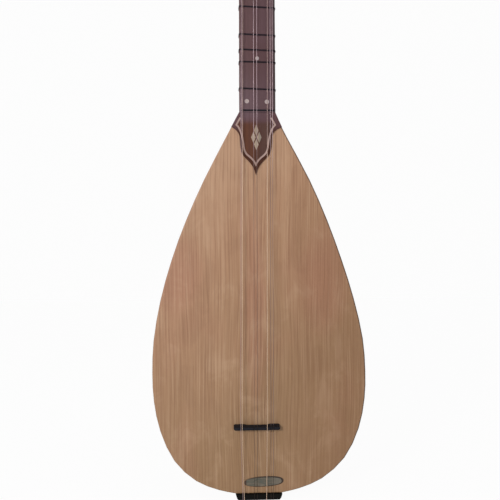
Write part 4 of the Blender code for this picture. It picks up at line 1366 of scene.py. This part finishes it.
@dataclass
class Tail:
    """The bridge, the string holder on the tail end and the oval shell plate."""

    edge: float = 0.25
    plate_edge: float = 0.12
    bridge_ends: float = 1.5
    bridge_flat: float = 2.0

    def build(self) -> None:
        """Dresses the bridge, the string holder and the plate."""
        bridge = Bench.eased("bridge", self.edge, ends=self.bridge_ends, flat=self.bridge_flat)
        Bench.piece("black_bridge", bridge, BLACK_WOOD, "bridge", body="bridge")
        Bench.piece("string_holder", Bench.eased("tailpiece", self.edge), SHADED_BLACK_WOOD, "tailpiece")
        Bench.piece("shell_plate", Bench.eased("oval_plate", self.plate_edge), OVAL_SHELL, "oval_plate")


@dataclass
class Studio:
    """The camera, the plain floor and backdrop, and the soft light."""

    focal_pixels: float = 700.0
    picture: int = 500
    sensor: float = 36.0
    near_clip: float = 0.01
    yaw: float = 3.136
    roll: float = 0.25
    looked_at: Triple = (0.0, 0.0, 255.5)
    seen_at: Triple = (0.00842, 0.0, -0.735)
    # The paper: how far the floor lies below the tail, how large each sheet is, how far behind the
    # backdrop hangs and how high its middle is, in metres
    floor_drop: float = 0.0012
    paper_size: float = 8.0
    backdrop: tuple[float, float] = (3.0, 3.9)
    paper_grey: float = 0.92
    paper_glow: float = 0.955
    key_place: Triple = (-0.95, -1.75, 0.45)
    key_power: float = 24.0
    key_size: float = 0.45
    world_strength: float = 0.5

    def build(self) -> None:
        """Sets up the studio."""
        self.camera()
        self.ground()
        self.lights()
        bpy.context.scene.view_settings.view_transform = "Standard"

    def camera(self) -> None:
        """Sets up the camera at the photograph's angle."""
        yaw, roll = math.radians(self.yaw), math.radians(self.roll)
        sy, cy, sr, cr = math.sin(yaw), math.cos(yaw), math.sin(roll), math.cos(roll)
        turn = Matrix(((cr * cy, -cr * sy, -sr), (sr * cy, -sr * sy, cr), (-sy, -cy, 0.0)))
        shift = Vector(self.seen_at) - turn @ place(*self.looked_at)
        data = bpy.data.cameras.new("photo_camera")
        data.sensor_width, data.sensor_height = self.sensor, self.sensor
        data.lens = self.focal_pixels * self.sensor / self.picture
        data.clip_start = self.near_clip
        camera = set_out("photo_camera", data)
        camera.matrix_world = Matrix.Translation(-(turn.transposed() @ shift)) @ turn.transposed().to_4x4()
        bpy.context.scene.camera = camera

    def ground(self) -> None:
        """Lays the pale floor under the tail and hangs the backdrop behind."""
        low = CAD_BOX[0][2] - self.floor_drop
        back, above = self.backdrop
        paper = self.paper()
        for name, turn, where in (("floor", 0.0, (0.0, 0.0, low)),
                                  ("backdrop", 90.0, (0.0, back, low + above))):
            bm = bmesh.new()
            spot = Matrix.Translation(where) @ Matrix.Rotation(math.radians(turn), 4, "X")
            bmesh.ops.create_grid(bm, x_segments=2, y_segments=2, size=self.paper_size / 2, matrix=spot)
            mesh = bpy.data.meshes.new(name)
            bm.to_mesh(mesh)
            bm.free()
            mesh.materials.append(paper)
            set_out(name, mesh)

    def paper(self) -> bpy.types.Material:
        """White studio paper: white to the camera, and pale with a faint shadow.

        Returns:
            The material.
        """
        sheet, material = Sheet.of_new_material("studio_paper")
        matte = sheet.value("ShaderNodeBsdfDiffuse", {"Color": (*(self.paper_grey,) * 3, 1.0)})
        glow = sheet.value("ShaderNodeEmission", {"Strength": 1.0})
        rays = sheet.add("ShaderNodeLightPath")
        camera, glossy, through = (Value(sheet, rays.outputs[f"Is {way} Ray"])
                                   for way in ("Camera", "Glossy", "Transmission"))
        seen = camera.math("MAXIMUM", glossy.math("MAXIMUM", through)) * self.paper_glow
        mixed = sheet.value("ShaderNodeMixShader", {0: seen, 1: matte, 2: glow})
        sheet.add("ShaderNodeOutputMaterial", {"Surface": mixed})
        return material

    def lights(self) -> None:
        """Sets a soft key at the upper left and an even white world."""
        world = bpy.data.worlds.new("studio_air")
        world.use_nodes = True
        sheet = Sheet(world.node_tree)
        air = world.node_tree.nodes["Background"]
        air.inputs["Color"].default_value = (1.0, 1.0, 1.0, 1.0)
        seen = sheet.value("ShaderNodeLightPath", out="Is Camera Ray")
        strength = seen.math("MULTIPLY_ADD", 1.0 - self.world_strength, self.world_strength)
        sheet.tree.links.new(strength.socket, air.inputs["Strength"])
        bpy.context.scene.world = world
        data = bpy.data.lights.new("key", "AREA")
        data.energy, data.shape, data.size = self.key_power, "DISK", self.key_size
        lamp = set_out("key", data)
        target = place(*self.looked_at)
        lamp.location = target + Vector(self.key_place)
        lamp.rotation_euler = (target - lamp.location).to_track_quat("-Z", "Y").to_euler()


def main() -> None:
    """Builds the studio and the instrument, piece by piece."""
    logging.basicConfig(level=logging.INFO, format="%(message)s")
    for part in (Studio(), Body(), Overlay(), Neck(), TiedFrets(), Strings(), Pegs(), Tail()):
        log.info("building %s", type(part).__name__)
        part.build()
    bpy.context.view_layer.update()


if __name__ == "__main__":
    main()
